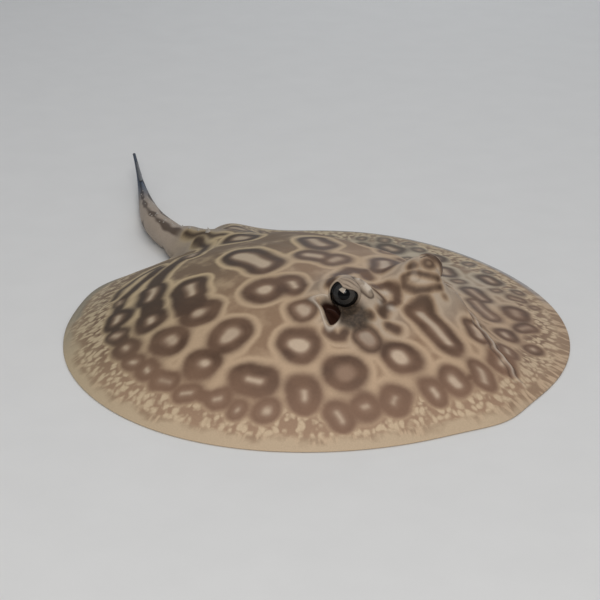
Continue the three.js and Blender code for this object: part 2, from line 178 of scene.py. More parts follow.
root_bearing = 180.0 + math.degrees(math.atan2(MIDDLE_Y, -TAIL_ROOT_X))
over_root = root_bearing + TAIL_ROOT_HALF_ANGLE * (2.0 * np.arange(TAIL_SECTORS) / TAIL_SECTORS - 1.0)
around = [root_bearing + TAIL_ROOT_HALF_ANGLE]
while around[-1] < root_bearing + 360.0 - TAIL_ROOT_HALF_ANGLE - 0.1:
    off_head = abs(turn_from(around[-1], 4.0))
    around.append(around[-1] + mix(HEAD_SECTOR, FIN_SECTOR, smooth(36.0, 56.0, off_head)))
bearings = turn_from(np.concatenate([over_root, around]), 0.0)


def steps_out(*stretches):
    """Shares of the way to the rim: each stretch runs to a share in so many even steps."""
    shares = [0.0]
    for end, steps in stretches:
        shares.extend(np.linspace(shares[-1], end, steps + 1)[1:])
    return np.array(shares[1:])


upper_shares = steps_out((0.2, 25), (0.64, 199), (1.0, 77))
lower_shares = steps_out((0.16, 8), (0.48, 65), (0.64, 63), (1.0, 31))
sector_reach = disc_reach(bearings)
sector_x = sector_reach * np.cos(np.radians(bearings))
sector_y = sector_reach * np.sin(np.radians(bearings))


def disc_rows(shares, height):
    x = shares[:, None] * sector_x
    y = shares[:, None] * sector_y + MIDDLE_Y
    return np.stack([x, y, height(x, y)], axis=-1)


above = disc_rows(upper_shares, upper_height)
below = disc_rows(lower_shares, under_height)


FOLD_HALF_WIDTH = 0.008
FIRST_RIDGE = 0.008
SECOND_RIDGE = 0.005
FURROW = 0.005


def fold_flank(rows):
    """A wavy fold of skin between the head and the left fin, with a furrow on each side and a
    second ridge beside it; returns where the furrows and the first ridge are."""
    x = rows[..., 0]
    fold_y = 0.233 + 0.117 * (np.clip(0.875 - x, 0.0, 1.0) / 0.455) ** 1.3
    offset = rows[..., 1] - fold_y + 0.006 * np.sin(45.0 * x) + 0.003 * np.sin(97.0 * x)
    fade = smooth(0.36, 0.46, x) * smooth(0.93, 0.82, x)
    furrows = swell(offset - 0.015, 0.006) + 0.8 * swell(offset + 0.018, 0.006)
    first = FIRST_RIDGE * swell(offset, FOLD_HALF_WIDTH)
    second = SECOND_RIDGE * swell(offset + 0.034, FOLD_HALF_WIDTH)
    rows[..., 2] += fade * (first + second - FURROW * furrows)
    return np.clip(fade * furrows, 0.0, 1.0), fade * swell(offset, 0.007)


flank_furrows, flank_ridge = fold_flank(above)

# ---- body: underside
# On the flat belly lie the mouth with its lips, the nostrils under their fringed curtain, five
# gill slits a side and the vent. They are folds and openings of the same skin.

# Each opening: half length, half width, depth and bow.
MOUTH = (0.105, 0.010, 0.022, 0.022)
CURTAIN = (0.066, 0.0055, 0.010, 0.006)
NOSTRIL = (0.032, 0.013, 0.020, 0.010)
GILL = (0.038, 0.0065, 0.011, 0.008)
VENT = (0.035, 0.006, 0.009, 0.0)
MOUTH_X = 0.56
CURTAIN_X = 0.590
CURTAIN_HALF_WIDTH = 0.052
NOSTRIL_X = 0.632
NOSTRIL_Y = 0.060
VENT_X = -0.66
# Five gill slits a side: place and bearing of the first and the last.
GILL_SLITS = 5
FIRST_GILL = np.array([0.40, 0.20, 70.0])
LAST_GILL = np.array([0.12, 0.17, 110.0])
LIP_WIDTH = 0.013
MOUTH_HOLLOW = 0.012
GILL_POUCH = 0.003
FULL_DEPTH = 0.020


def cleft(rows, middle, bearing, size, side=1, fringe=0.0):
    """Depth of a bowed slit whose ends run out, at every point of the rows, and how far along
    and across it the point lies."""
    half_length, half_width, depth, bow = size
    angle = math.radians(bearing)
    x = rows[..., 0] - middle[0]
    y = rows[..., 1] - middle[1]
    along = x * math.cos(angle) + y * math.sin(angle)
    across = y * math.cos(angle) - x * math.sin(angle) - side * bow * (along / half_length) ** 2
    ends = smooth(1.0, 0.7, np.abs(along) / half_length)
    return depth * ends * smooth(1.0, 0.35, np.abs(across) / (half_width + fringe)), along, across


def carve_belly(rows):
    """Presses the openings of the underside up into the skin, and returns how deep they are."""
    x = rows[..., 0]
    y = rows[..., 1]
    mouth, along, across = cleft(rows, (MOUTH_X, 0.0), 90.0, MOUTH)
    lips = swell(np.abs(across) - LIP_WIDTH, LIP_WIDTH) * smooth(0.125, 0.085, np.abs(along))
    flap = smooth(CURTAIN_X - 0.002, CURTAIN_X + 0.004, x) * smooth(0.66, 0.625, x)
    flap = flap * smooth(CURTAIN_HALF_WIDTH + 0.012, CURTAIN_HALF_WIDTH, np.abs(y))
    hollow = MOUTH_HOLLOW * swell(np.hypot((x - CURTAIN_X) / 0.085, y / 0.15), 1.0)
    press = hollow * (1.0 - np.maximum(lips, flap))
    fringe = 0.0025 * np.sin(y * 520.0)
    openings = [
        mouth,
        cleft(rows, (CURTAIN_X, 0.0), 90.0, CURTAIN, 1, fringe)[0],
        cleft(rows, (VENT_X, 0.0), 0.0, VENT)[0],
    ]
    for side in (1, -1):
        openings.append(cleft(rows, (NOSTRIL_X, side * NOSTRIL_Y), 90.0 - side * 40.0, NOSTRIL, side)[0])
        for share in np.linspace(0.0, 1.0, GILL_SLITS):
            gill_x, gill_y, turn = mix(FIRST_GILL, LAST_GILL, share) * [1, side, side]
            openings.append(cleft(rows, (gill_x, gill_y), turn, GILL, side)[0])
            press = press + GILL_POUCH * swell(np.hypot(x - gill_x + 0.018, (y - gill_y) / 1.6), 0.016)
    deep = np.max(openings, axis=0)
    rows[..., 2] += press + deep
    return deep / FULL_DEPTH


belly_depth = carve_belly(below)

# ---- body: eye mounds
# Each eyeball sits in a raised mound of skin that looks out to the side. The skin of the back
# is carried up over the mound, folds in at the lids and lines the socket behind the eyeball.

EYE_X = 0.385
EYE_Y = 0.202
EYE_Z = 0.343
EYE_RADIUS = 0.0535
MOUND_REACH = 0.165
FAR_FROM_EYE = 9.0
# Where each eye looks, in degrees to the side and up, and how wide its lids are, with 1 for the
# left one, which is rolled back and half shut, and -1 for the right one.
GAZE = {1: (96.0, 12.0), -1: (42.0, 18.0)}
LIDS = {1: 0.5, -1: 1.0}


def eye_frame(side):
    """Centre of the eyeball, the way it looks, and the ways up and forward across that."""
    centre = np.array([EYE_X, side * EYE_Y, EYE_Z])
    out = math.radians(GAZE[side][0]) * side
    rise = math.radians(GAZE[side][1])
    gaze = np.array([math.cos(rise) * math.cos(out), math.cos(rise) * math.sin(out), math.sin(rise)])
    upward = np.array([0.0, 0.0, 1.0]) - gaze * gaze[2]
    upward /= np.linalg.norm(upward)
    forward = -side * np.cross(upward, gaze)
    return centre, gaze, upward, forward


def lid_opening(around_gaze):
    """Half the opening between the lids in degrees, round the gaze: 0 is up, 90 is forward.
    A fold of the brow hangs over the upper front quarter and almost touches the pupil."""
    off = turn_from(around_gaze, 8.0)
    reach = np.where(off < 0.0, 33.0, 70.0)
    return 71.0 - 47.0 * np.exp(-(off / reach) ** 4)


FOLD_HEIGHT = 0.03


def brow_folds(off_gaze, lid, around_gaze):
    """Fine wrinkles that run along the edge of the upper lid."""
    above_lid = off_gaze - lid
    ripple = np.sin(2.0 * math.pi * above_lid / 21.0 + 0.03 * around_gaze)
    band = smooth(3.0, 14.0, above_lid) * smooth(105.0, 75.0, off_gaze)
    return ripple * band * swell(turn_from(around_gaze, 22.0), 62.0)


def raise_eye_mound(rows, side):
    """Wraps the skin near one eye round the eyeball; returns how far it is from the eye and
    how deep in a fold of the brow."""
    centre, gaze, upward, forward = eye_frame(side)
    offset = rows[..., :2] - (centre[:2] - 0.03 * gaze[:2])
    distance = np.hypot(offset[..., 0], offset[..., 1]) / MOUND_REACH
    near = distance < 1.0
    share = distance[near]
    way = offset[near] / np.maximum(np.hypot(*offset[near].T), 1e-9)[:, None]
    turn = Vector((0.0, 0.0, 1.0)).rotation_difference(Vector(gaze)).to_matrix()
    turned = np.concatenate([way, np.zeros((len(way), 1))], axis=1) @ np.array(turn).T
    around_gaze = np.degrees(np.arctan2(turned @ forward, turned @ upward))
    low = 0.5 - 0.5 * np.cos(np.radians(around_gaze))
    lid = LIDS[side] * lid_opening(around_gaze)
    # The skin's way out from behind the eyeball, over the lid and down the mound: share of the
    # mound's reach, degrees off the gaze, and distance from the eyeball's middle in its radii.
    knots = [
        (0.00, 180.0, 1.03),
        (0.10, 112.0, 1.03),
        (0.20, lid, 1.012),
        (0.225, lid - 1.5, 1.035),
        (0.27, lid + 6.0, 1.065),
        (0.42, mix(102.0, 86.0, low), 1.16),
        (0.62, mix(126.0, 68.0, low), 1.62),
        (1.00, mix(150.0, 54.0, low), 2.6),
    ]
    off_gaze, far = np.zeros((2, len(share)))
    for (start, start_angle, start_far), (end, end_angle, end_far) in zip(knots[:-1], knots[1:]):
        inside = (share >= start) & (share <= end)
        along = (share - start) / (end - start)
        along = mix(along, along * along * (3.0 - 2.0 * along), 0.5)
        off_gaze = np.where(inside, mix(start_angle, end_angle, along), off_gaze)
        far = np.where(inside, mix(start_far, end_far, along), far)
    folds = brow_folds(off_gaze, lid, around_gaze)
    bend = np.radians(off_gaze)[:, None]
    reach = EYE_RADIUS * (far + FOLD_HEIGHT * folds)[:, None]
    wrapped = centre + reach * (np.cos(bend) * gaze + np.sin(bend) * turned)
    settle = smooth(mix(0.42, 0.50, low), 0.98, share)[:, None]
    rows[near] = mix(wrapped, rows[near], settle)
    around_eye = np.full(distance.shape, FAR_FROM_EYE)
    around_eye[near] = share
    crease_shade_mask = np.zeros(distance.shape)
    crease_shade_mask[near] = np.clip(-folds, 0.0, 1.0) ** 2
    return around_eye, crease_shade_mask


BULGE_START = (0.386, 0.142, 0.366)
BULGE_END = (0.412, 0.114, 0.338)
BULGE_HEIGHT = 0.016
BULGE_RADIUS = 0.026


def push_brow_bulge(rows, side):
    """A smooth shiny fold beside the brow, with a crease round it; returns where both are."""
    mirror = np.array([1.0, side, 1.0])
    start = BULGE_START * mirror
    line = BULGE_END * mirror - start
    _, gaze, upward, forward = eye_frame(side)
    near = np.hypot(rows[..., 0] - start[0], rows[..., 1] - start[1]) < 0.15
    points = rows[near]
    share = np.clip((points - start) @ line / (line @ line), 0.0, 1.0)
    away = np.linalg.norm(points - start - share[:, None] * line, axis=1)
    outward = 0.3 * gaze + 0.7 * upward + 0.5 * forward
    strength = LIDS[side] ** 2
    swelling = BULGE_HEIGHT * smooth(BULGE_RADIUS, 0.004, away) - 0.005 * swell(away - 0.030, 0.006)
    rows[near] = points + strength * swelling[:, None] * outward
    bulge, crease_shade_mask = np.zeros((2,) + near.shape)
    bulge[near] = strength * smooth(BULGE_RADIUS, 0.012, away)
    crease_shade_mask[near] = strength * swell(away - 0.029, 0.005)
    return bulge, crease_shade_mask


# ---- body: spiracles
# Behind and below each eye lies a spiracle, the slanting opening through which a ray on the
# bottom draws its water. A soft valve hangs at its outer side and a pale lip runs round it.

SPIRACLE_PLACE = (0.386, 0.262, 0.285)
SPIRACLE_AXIS = (0.118, 0.036, -0.060)
SPIRACLE_OPENS = (0.25, 0.55, 0.80)
SPIRACLE_HALF_LENGTH = 0.068
SPIRACLE_HALF_WIDTH = 0.030
SPIRACLE_DEPTH = 0.062
LIP_HEIGHT = 0.007
# The valve: its place along and across the opening, its size the same way, and its height.
VALVE_ALONG, VALVE_ACROSS = -0.006, 0.027
VALVE_LENGTH, VALVE_WIDTH = 0.034, 0.019
VALVE_HEIGHT = 0.045


def sink_spiracle(rows, side):
    """Sinks one spiracle into the skin; returns how deep inside it and how near its lip each
    point lies."""
    mirror = np.array([1.0, side, 1.0])
    along = SPIRACLE_AXIS * mirror
    along /= np.linalg.norm(along)
    outward = SPIRACLE_OPENS * mirror
    outward -= along * (outward @ along)
    outward /= np.linalg.norm(outward)
    across = np.cross(outward, along) * side
    offset = rows - SPIRACLE_PLACE * mirror
    length = offset @ along
    bend = 3.0 * (length + 0.01) ** 2 + 5.0 * np.minimum(length + 0.01, 0.0) ** 2
    width = offset @ across - bend
    level = np.hypot(length / SPIRACLE_HALF_LENGTH, width / SPIRACLE_HALF_WIDTH)
    near = (level < 2.2) & (np.abs(offset @ outward) < 0.07)
    inside = smooth(1.0, 0.74, level)
    lip = LIP_HEIGHT * swell(level - 1.2, 0.16)
    from_valve = np.hypot((length - VALVE_ALONG) / VALVE_LENGTH, (width - VALVE_ACROSS) / VALVE_WIDTH)
    valve = VALVE_HEIGHT * swell(from_valve, 1.0)
    push = np.where(near, lip + (valve - SPIRACLE_DEPTH) * inside, 0.0)
    rows += push[..., None] * outward
    # the opening stays clear of the eyeball
    eye_centre = eye_frame(side)[0]
    from_eye = rows - eye_centre
    distance = np.linalg.norm(from_eye, axis=-1)
    clear = 1.07 * EYE_RADIUS
    tight = near & (distance < clear) & (inside > 0.0)
    rows[tight] = eye_centre + from_eye[tight] * (clear / distance[tight])[:, None]
    return np.where(near, inside, 0.0), np.where(near, swell(level - 1.22, 0.15), 0.0)


eye_distance = np.full(above.shape[:2], FAR_FROM_EYE)
bulges, spiracle_depth, spiracle_lip = np.zeros((3,) + above.shape[:2])
# where shade is painted into the creases: the furrows beside the flank fold, the wrinkles of the brows and
# the crease round each bulge
crease_shade_mask = 0.7 * flank_furrows
for side in (1, -1):
    distance, folds = raise_eye_mound(above, side)
    eye_distance = np.minimum(eye_distance, distance)
    bulge, rim = push_brow_bulge(above, side)
    bulges = np.maximum(bulges, bulge)
    crease_shade_mask = np.maximum(crease_shade_mask, np.maximum(folds, rim))
    depth, lip = sink_spiracle(above, side)
    spiracle_depth = np.maximum(spiracle_depth, depth)
    spiracle_lip = np.maximum(spiracle_lip, lip)
spiracle_lip = np.maximum(spiracle_lip, flank_ridge)

# ---- body: tail
# The tail grows out of the back of the disc as wide as the trunk, narrows to a whip and turns
# to the left. Its first ring is the rim of the disc behind the trunk.

TAIL_LENGTH = 1.35
TAIL_TURN = 26.5
TURNED_BY = 0.65
TAIL_RINGS = 336
ROOT_HALF_HEIGHT = 0.060
ROOT_HALF_WIDTH = 0.072
WHIP_RADIUS = 0.019
TIP_RISE = 0.08
OVAL_FROM = 0.2
WALL_POINTS = 3


def tail_path(distance):
    """Place on the floor and heading of the tail's middle line, by distance from its root."""
    if distance < 0.0:
        return TAIL_ROOT_X - distance, 0.0, 0.0
    marks = np.linspace(0.0, 1.6, 801)
    heading = math.radians(TAIL_TURN) * smooth(0.0, TURNED_BY, marks)
    step = marks[1] - marks[0]
    x = TAIL_ROOT_X - np.append(0.0, np.cumsum(np.cos(heading[:-1]) * step))
    y = np.append(0.0, np.cumsum(np.sin(heading[:-1]) * step))
    return [np.interp(distance, marks, values) for values in (x, y, heading)]


def tail_section(distance):
    """Half height, half width and height of the middle of the oval across the tail."""
    whip = WHIP_RADIUS * (1.0 - 0.62 * smooth(0.7, 1.38, distance))
    half_height = mix(ROOT_HALF_HEIGHT, whip, smooth(0.22, 1.14, distance))
    half_width = mix(ROOT_HALF_WIDTH, whip, smooth(0.05, 1.14, distance))
    return half_height, half_width, half_height + TIP_RISE * smooth(0.71, 1.4, distance)


class Shell:
    """Points and four-sided faces of one closed skin. Faces look out when the rows of points run
    anticlockwise and follow each other outwards."""

    def __init__(self):
        self.points = []
        self.faces = []
        self.count = 0

    def add(self, points):
        points = np.asarray(points).reshape(-1, 3)
        self.points.append(points)
        self.count += len(points)
        return np.arange(self.count - len(points), self.count)

    def strips(self, rows, closed=True):
        for inner, outer in zip(rows[:-1], rows[1:]):
            if closed:
                inner = np.append(inner, inner[0])
                outer = np.append(outer, outer[0])
            self.faces.append(np.stack([inner[:-1], outer[:-1], outer[1:], inner[1:]], axis=1))

    def cap(self, middle, row):
        """Closes a row of points with three-sided faces round one more point."""
        middles = np.repeat(self.add([middle]), len(row))
        self.faces.append(np.stack([middles, row, np.append(row[1:], row[0]), middles], axis=1))
        return middles[0]

    def piece(self, name):
        """A smooth mesh of the shell in the scene; a face's repeated corner is dropped."""
        points = np.concatenate(self.points) * RADIUS
        faces = np.concatenate(self.faces)
        three = faces[:, 3] == faces[:, 0]
        corners = np.concatenate([faces[~three].reshape(-1), faces[three][:, :3].reshape(-1)])
        sizes = np.repeat([4, 3], [(~three).sum(), three.sum()])
        mesh = bpy.data.meshes.new(name)
        mesh.vertices.add(len(points))
        mesh.vertices.foreach_set("co", points.astype(np.float32).ravel())
        mesh.loops.add(len(corners))
        mesh.loops.foreach_set("vertex_index", corners.astype(np.int32))
        mesh.polygons.add(len(sizes))
        mesh.polygons.foreach_set("loop_start", (np.cumsum(sizes) - sizes).astype(np.int32))
        mesh.polygons.foreach_set("use_smooth", np.ones(len(sizes), dtype=bool))
        mesh.update(calc_edges=True)
        mesh.validate()
        piece = bpy.data.objects.new(name, mesh)
        bpy.context.scene.collection.objects.link(piece)
        return piece


skin = Shell()
upper_rows = skin.add(above).reshape(above.shape[:2])
lower_rows = skin.add(below).reshape(below.shape[:2])
skin.cap([0.0, MIDDLE_Y, upper_height(0.0, MIDDLE_Y)], upper_rows[0])
belly = skin.cap([0.0, MIDDLE_Y, 0.0], lower_rows[0][::-1])
skin.strips(upper_rows)
skin.strips(lower_rows[::-1])

# The edge of the disc is round, and stops on both sides of the tail.
wall_sectors = np.append(np.arange(TAIL_SECTORS, len(bearings)), 0)
wall_way = np.radians(bearings[wall_sectors])
outward = np.stack([np.cos(wall_way), np.sin(wall_way)], axis=1)
walls = []
for share in np.linspace(0.0, 1.0, WALL_POINTS + 2)[1:-1]:
    edge = mix(above[-1][wall_sectors], below[-1][wall_sectors], share)
    edge[:, :2] += outward * (0.45 * RIM_THICKNESS * math.sin(math.pi * share))
    walls.append(skin.add(edge))
skin.strips([upper_rows[-1][wall_sectors], *walls, lower_rows[-1][wall_sectors]], closed=False)

# The first ring of the tail runs over its root, down the right side, back below and up the left.
root_ring = np.concatenate([
    upper_rows[-1][:TAIL_SECTORS + 1],
    [row[0] for row in walls],
    lower_rows[-1][:TAIL_SECTORS + 1][::-1],
    [row[-1] for row in walls][::-1],
])
root_points = np.concatenate(skin.points)[root_ring]
ring_angle = 2.0 * math.pi * (np.arange(len(root_ring)) + 0.5 + WALL_POINTS / 2.0) / len(root_ring)

tail_first = skin.count
tail_rings = [root_ring]
ring_shares = (np.arange(1, TAIL_RINGS + 1) / TAIL_RINGS) ** 1.05
for distance in TAIL_LENGTH * ring_shares:
    x, y, heading = tail_path(distance)
    half_height, half_width, middle = tail_section(distance)
    oval = smooth(0.0, OVAL_FROM, distance)
    out = mix(root_points[:, 1], half_width * np.cos(ring_angle), oval)
    up = mix(root_points[:, 2], middle + half_height * np.sin(ring_angle), oval)
    back = mix(TAIL_ROOT_X - root_points[:, 0], 0.0, oval)
    points = np.stack([x + out * math.sin(heading) - back, y + out * math.cos(heading), up], axis=1)
    tail_rings.append(skin.add(points))
skin.strips(tail_rings)
end_x, end_y, _ = tail_path(TAIL_LENGTH + 0.02)
skin.cap([end_x, end_y, tail_section(TAIL_LENGTH)[2]], tail_rings[-1][::-1])
skin_piece = skin.piece("ray_skin")

# ---- skin: marks
# Brown rings on cream, each with a pale spot in the middle. Where rings touch they run together,
# and between them lie tan patches parted by a pale net. Towards the rim they break up.

# Each ring: middle x and y, half length and half width of its pale spot, turn in degrees, width
# of the brown band and how pale the spot is.
RINGS = [
    # right fin, from the front
    (0.628, -0.388, 0.033, 0.030, 0, 0.052, 0.45),
    (0.432, -0.448, 0.045, 0.040, 0, 0.046, 1.0),
    (0.612, -0.563, 0.030, 0.014, -28, 0.053, 0.9),
    (0.450, -0.664, 0.040, 0.016, 32, 0.058, 0.9),
    (0.210, -0.600, 0.032, 0.042, 10, 0.054, 0.8),
    (0.248, -0.748, 0.024, 0.022, 0, 0.052, 0.9),
    (0.030, -0.745, 0.035, 0.022, 0, 0.054, 0.75),
    (-0.003, -0.588, 0.026, 0.024, 0, 0.060, 0.8),
    (-0.178, -0.514, 0.058, 0.018, -33, 0.055, 0.9),
    (-0.350, -0.590, 0.058, 0.016, -36, 0.045, 0.9),
    (-0.165, -0.707, 0.030, 0.018, -30, 0.050, 0.9),
    (-0.348, -0.750, 0.035, 0.017, -45, 0.045, 0.9),
    (0.757, -0.512, 0.026, 0.012, -5, 0.040, 0.9),
    (0.777, -0.412, 0.014, 0.020, 0, 0.042, 0.8),
    (0.806, -0.297, 0.022, 0.011, -55, 0.050, 0.8),
    (0.553, -0.224, 0.032, 0.030, 0, 0.030, 0.5),
    (0.670, -0.160, 0.036, 0.034, 0, 0.044, 1.0),
    (0.838, -0.152, 0.028, 0.016, 0, 0.038, 0.9),
    # along the edge of the right fin
    (-0.240, -0.818, 0.022, 0.014, 0, 0.030, 0.8),
    (-0.120, -0.855, 0.022, 0.016, 0, 0.045, 0.8),
    (-0.017, -0.883, 0.018, 0.014, 0, 0.032, 0.9),
    (0.078, -0.884, 0.024, 0.014, -10, 0.040, 0.9),
    (0.188, -0.877, 0.026, 0.010, 30, 0.038, 0.7),
    (0.308, -0.862, 0.030, 0.011, 35, 0.035, 0.9),
    (0.418, -0.801, 0.022, 0.011, 45, 0.035, 0.9),
    (0.512, -0.780, 0.011, 0.013, 0, 0.030, 0.9),
    (0.583, -0.705, 0.018, 0.016, 30, 0.035, 0.9),
    # snout and between the eyes
    (0.838, -0.045, 0.032, 0.022, 10, 0.038, 0.9),
    (0.845, 0.080, 0.042, 0.015, -24, 0.036, 0.8),
    (0.604, 0.056, 0.098, 0.020, -2, 0.047, 0.9),
    (0.643, 0.235, 0.040, 0.020, -25, 0.034, 0.8),
    (0.798, 0.227, 0.030, 0.016, -45, 0.045, 0.8),
    # back
    (0.211, 0.128, 0.060, 0.024, -40, 0.042, 0.8),
    (0.075, 0.000, 0.022, 0.036, 0, 0.034, 0.7),
    (-0.010, -0.050, 0.040, 0.022, 35, 0.038, 0.8),
    (0.090, -0.355, 0.035, 0.035, 0, 0.052, 0.9),
    (0.145, -0.262, 0.036, 0.016, -20, 0.042, 0.9),
    (0.304, -0.335, 0.034, 0.024, 0, 0.032, 0.8),
    (-0.165, -0.230, 0.115, 0.033, -3, 0.053, 0.9),
    (-0.540, -0.025, 0.040, 0.032, 20, 0.050, 0.8),
    (-0.140, 0.066, 0.070, 0.022, -15, 0.046, 0.8),
    (-0.570, -0.255, 0.060, 0.018, -42, 0.036, 0.7),
    (-0.475, -0.665, 0.020, 0.008, -45, 0.026, 0.8),
    # left fin
    (0.560, 0.570, 0.015, 0.040, 0, 0.032, 0.6),
    (0.440, 0.630, 0.040, 0.020, -35, 0.040, 0.6),
    (0.380, 0.503, 0.085, 0.013, -10, 0.026, 0.7),
    (0.589, 0.432, 0.024, 0.016, 0, 0.036, 0.8),
    (0.726, 0.320, 0.028, 0.012, -45, 0.032, 0.9),
    (0.704, 0.475, 0.016, 0.014, 0, 0.030, 0.8),
    (0.247, 0.590, 0.060, 0.014, -10, 0.035, 0.7),
    (-0.140, 0.450, 0.050, 0.018, -45, 0.035, 0.7),
    (0.060, 0.460, 0.040, 0.016, -40, 0.030, 0.8),
]


# Brown stripes and short bars that close on nothing: width and the points they pass through,
# looked at from above; the ones on the steep sides of the eye mounds have a height as well.
STRIPES = [
    (0.042, [(0.326, -0.221, 0.375), (0.260, -0.150, 0.345), (0.198, -0.085, 0.329), (0.178, -0.013, 0.325),
             (0.220, 0.022, 0.321), (0.268, 0.010, 0.315)]),
    (0.030, [(0.338, -0.020), (0.348, 0.022), (0.403, 0.036), (0.441, 0.005), (0.450, -0.039),
             (0.466, -0.081), (0.485, -0.105)]),
    (0.018, [(0.375, -0.055), (0.400, -0.046), (0.425, -0.048), (0.445, -0.080)]),
    (0.032, [(0.536, -0.112), (0.560, -0.090)]),
    (0.030, [(0.382, 0.118, 0.375), (0.384, 0.126, 0.375)]),
    (0.018, [(0.391, 0.079, 0.339), (0.407, 0.104, 0.355), (0.446, 0.136, 0.354), (0.472, 0.179, 0.336)]),
    (0.022, [(0.391, 0.079, 0.339), (0.418, 0.062, 0.314), (0.454, 0.082, 0.304), (0.480, 0.123, 0.305),
             (0.488, 0.177, 0.307)]),
    (0.020, [(0.493, 0.174, 0.270), (0.500, 0.180, 0.266)]),
    (0.024, [(0.478, -0.155, 0.273), (0.484, -0.160, 0.270)]),
    (0.036, [(0.452, -0.331, 0.247), (0.483, -0.325, 0.235), (0.498, -0.303, 0.235), (0.490, -0.282, 0.242)]),
    (0.016, [(-0.968, -0.028), (-0.891, -0.026), (-0.824, -0.022), (-0.738, -0.026), (-0.672, -0.018)]),
    (0.024, [(-0.860, -0.050), (-0.802, -0.062), (-0.683, -0.100), (-0.590, -0.180)]),
]

# Thin dark lines of painted shade over the left mound, in the folds where the brow hangs over the eye.
FOLD_SHADE_LINES = [
    (0.003, [(0.386, 0.166, 0.399), (0.390, 0.192, 0.403), (0.397, 0.217, 0.399), (0.418, 0.227, 0.387),
             (0.432, 0.234, 0.359)]),
    (0.002, [(0.396, 0.196, 0.400), (0.414, 0.210, 0.388), (0.424, 0.218, 0.368)]),
]

# Whitish blotches between the eyes, and how far each reaches.
BLOTCHES = [(0.382, -0.005, 0.294), (0.467, -0.041, 0.268), (0.441, -0.085, 0.301), (0.415, -0.070, 0.300)]
BLOTCH_REACH = 0.017

# Brown bridges that join rings into chains: half width and the points they pass through. The
# pale spots of the rings stay clear.
BRIDGES = [
    (0.055, [(-0.178, -0.514), (-0.003, -0.588)]),
    (0.048, [(-0.215, -0.540), (-0.075, -0.612)]),
    (0.022, [(0.838, -0.152), (0.838, -0.045), (0.845, 0.080)]),
    (0.055, [(-0.348, -0.592), (-0.165, -0.707)]),
    (0.036, [(-0.348, -0.592), (-0.443, -0.514), (-0.492, -0.444), (-0.529, -0.377), (-0.560, -0.290)]),
    (0.040, [(-0.240, -0.818), (-0.120, -0.855), (-0.017, -0.883), (0.078, -0.884), (0.188, -0.877)]),
    (0.030, [(-0.240, -0.818), (-0.348, -0.750), (-0.463, -0.672), (-0.512, -0.605), (-0.542, -0.535),
             (-0.560, -0.461), (-0.600, -0.393)]),
    (0.018, [(-0.630, -0.370), (-0.640, -0.480), (-0.620, -0.560), (-0.560, -0.640)]),
    (0.034, [(0.308, -0.862), (0.418, -0.801)]),
    (0.045, [(0.248, -0.748), (0.210, -0.600)]),
    (0.030, [(0.075, 0.000), (-0.010, -0.050)]),
]


def room_at(x, y):
    """How far a place is outside the nearest ring."""
    return min(math.hypot(x - ring[0], y - ring[1]) - 0.75 * ring[2] - 0.25 * ring[3] - ring[5]
               for ring in RINGS)


# The hidden side behind the left eye and the left fin carry the same rings, strewn evenly where
# the others leave room: long ones first, then small ones that point to the rim.
draw = np.random.default_rng(3)
for _ in range(900):
    x = draw.uniform(-0.9, 0.42)
    y = draw.uniform(-0.75, 0.85)
    length = draw.uniform(0.02, 0.055)
    hidden = y > 0.24 or (x < -0.6 and y > 0.06) or (x < -0.72 and y > 0.05)
    if hidden and disc_place(x, y)[1] <= 0.84 and room_at(x, y) > length + 0.065:
        RINGS.append((x, y, length, draw.uniform(0.014, 0.024), draw.uniform(-60.0, 20.0), 0.036, 0.75))
for _ in range(2600):
    x = draw.uniform(-0.9, 0.85)
    y = draw.uniform(0.25, 0.95)
    length = draw.uniform(0.010, 0.030)
    in_front = x > 0.5 and y < 0.30
    if not in_front and disc_place(x, y)[1] <= 0.90 and room_at(x, y) > length + 0.032:
        turn = math.degrees(math.atan2(y - MIDDLE_Y, x)) + draw.uniform(-20.0, 20.0)
        RINGS.append((x, y, length, 0.008, turn, 0.022, 0.8))


def spot_distance(x, y, half_length, half_width, turn):
    """How far a place is outside a long rounded spot round the origin; negative inside."""
    angle = math.radians(turn)
    along = np.abs(x * math.cos(angle) + y * math.sin(angle)) - max(half_length - half_width, 0.0)
    across = np.abs(y * math.cos(angle) - x * math.sin(angle)) - max(half_width - half_length, 0.0)
    return np.hypot(np.maximum(along, 0.0), np.maximum(across, 0.0)) - min(half_length, half_width)


RING_BLEND = 0.02


def ring_field(x, y):
    """How deep each place is inside the brown bands, in radii, how far it is outside the pale
    spots, and how pale the spots are."""
    outer = np.full(len(x), -1.0)
    inner = np.full(len(x), 1.0)
    pale = np.zeros(len(x))
    for ring_x, ring_y, half_length, half_width, turn, band, light in RINGS:
        reach = half_length + band + 0.1
        near = np.nonzero((np.abs(x - ring_x) < reach) & (np.abs(y - ring_y) < reach))[0]
        away = spot_distance(x[near] - ring_x, y[near] - ring_y, half_length, half_width, turn)
        over = band - away - outer[near]
        outer[near] += 0.5 * (over + np.hypot(over, RING_BLEND * (np.abs(over) < 0.5)))
        inner[near] = np.minimum(inner[near], away)
        pale[near] = np.where(away < 0.01, light, pale[near])
    return outer, inner, pale


def line_field(places, lines):
    """How deep each place is inside the nearest of some lines of a given half width, in radii."""
    deepest = np.full(len(places), -1.0)
    for half, points in lines:
        points = np.array(points)
        seen = places[:, :points.shape[1]]
        for start, end in zip(points[:-1], points[1:]):
            line = end - start
            along = np.clip((seen - start) @ line / (line @ line), 0.0, 1.0)
            away = np.linalg.norm(seen - start - along[:, None] * line, axis=1)
            deepest = np.maximum(deepest, half - away)
    return deepest


# A small ring on top of the left mound, by its middle; depths are kept up to a limit.
SMALL_RING = (0.423, 0.172, 0.382)
SMALL_RING_RADIUS = 0.032
DEPTH_LIMIT = 0.1
UNEVENNESS = 0.006

places = np.concatenate(skin.points)
place_x, place_y = places[:, 0], places[:, 1]


def away_from(middle, reach=1.0):
    """How far each place is from a middle, in shares of a reach that may differ by axis."""
    return np.linalg.norm((places - middle) / reach, axis=1)


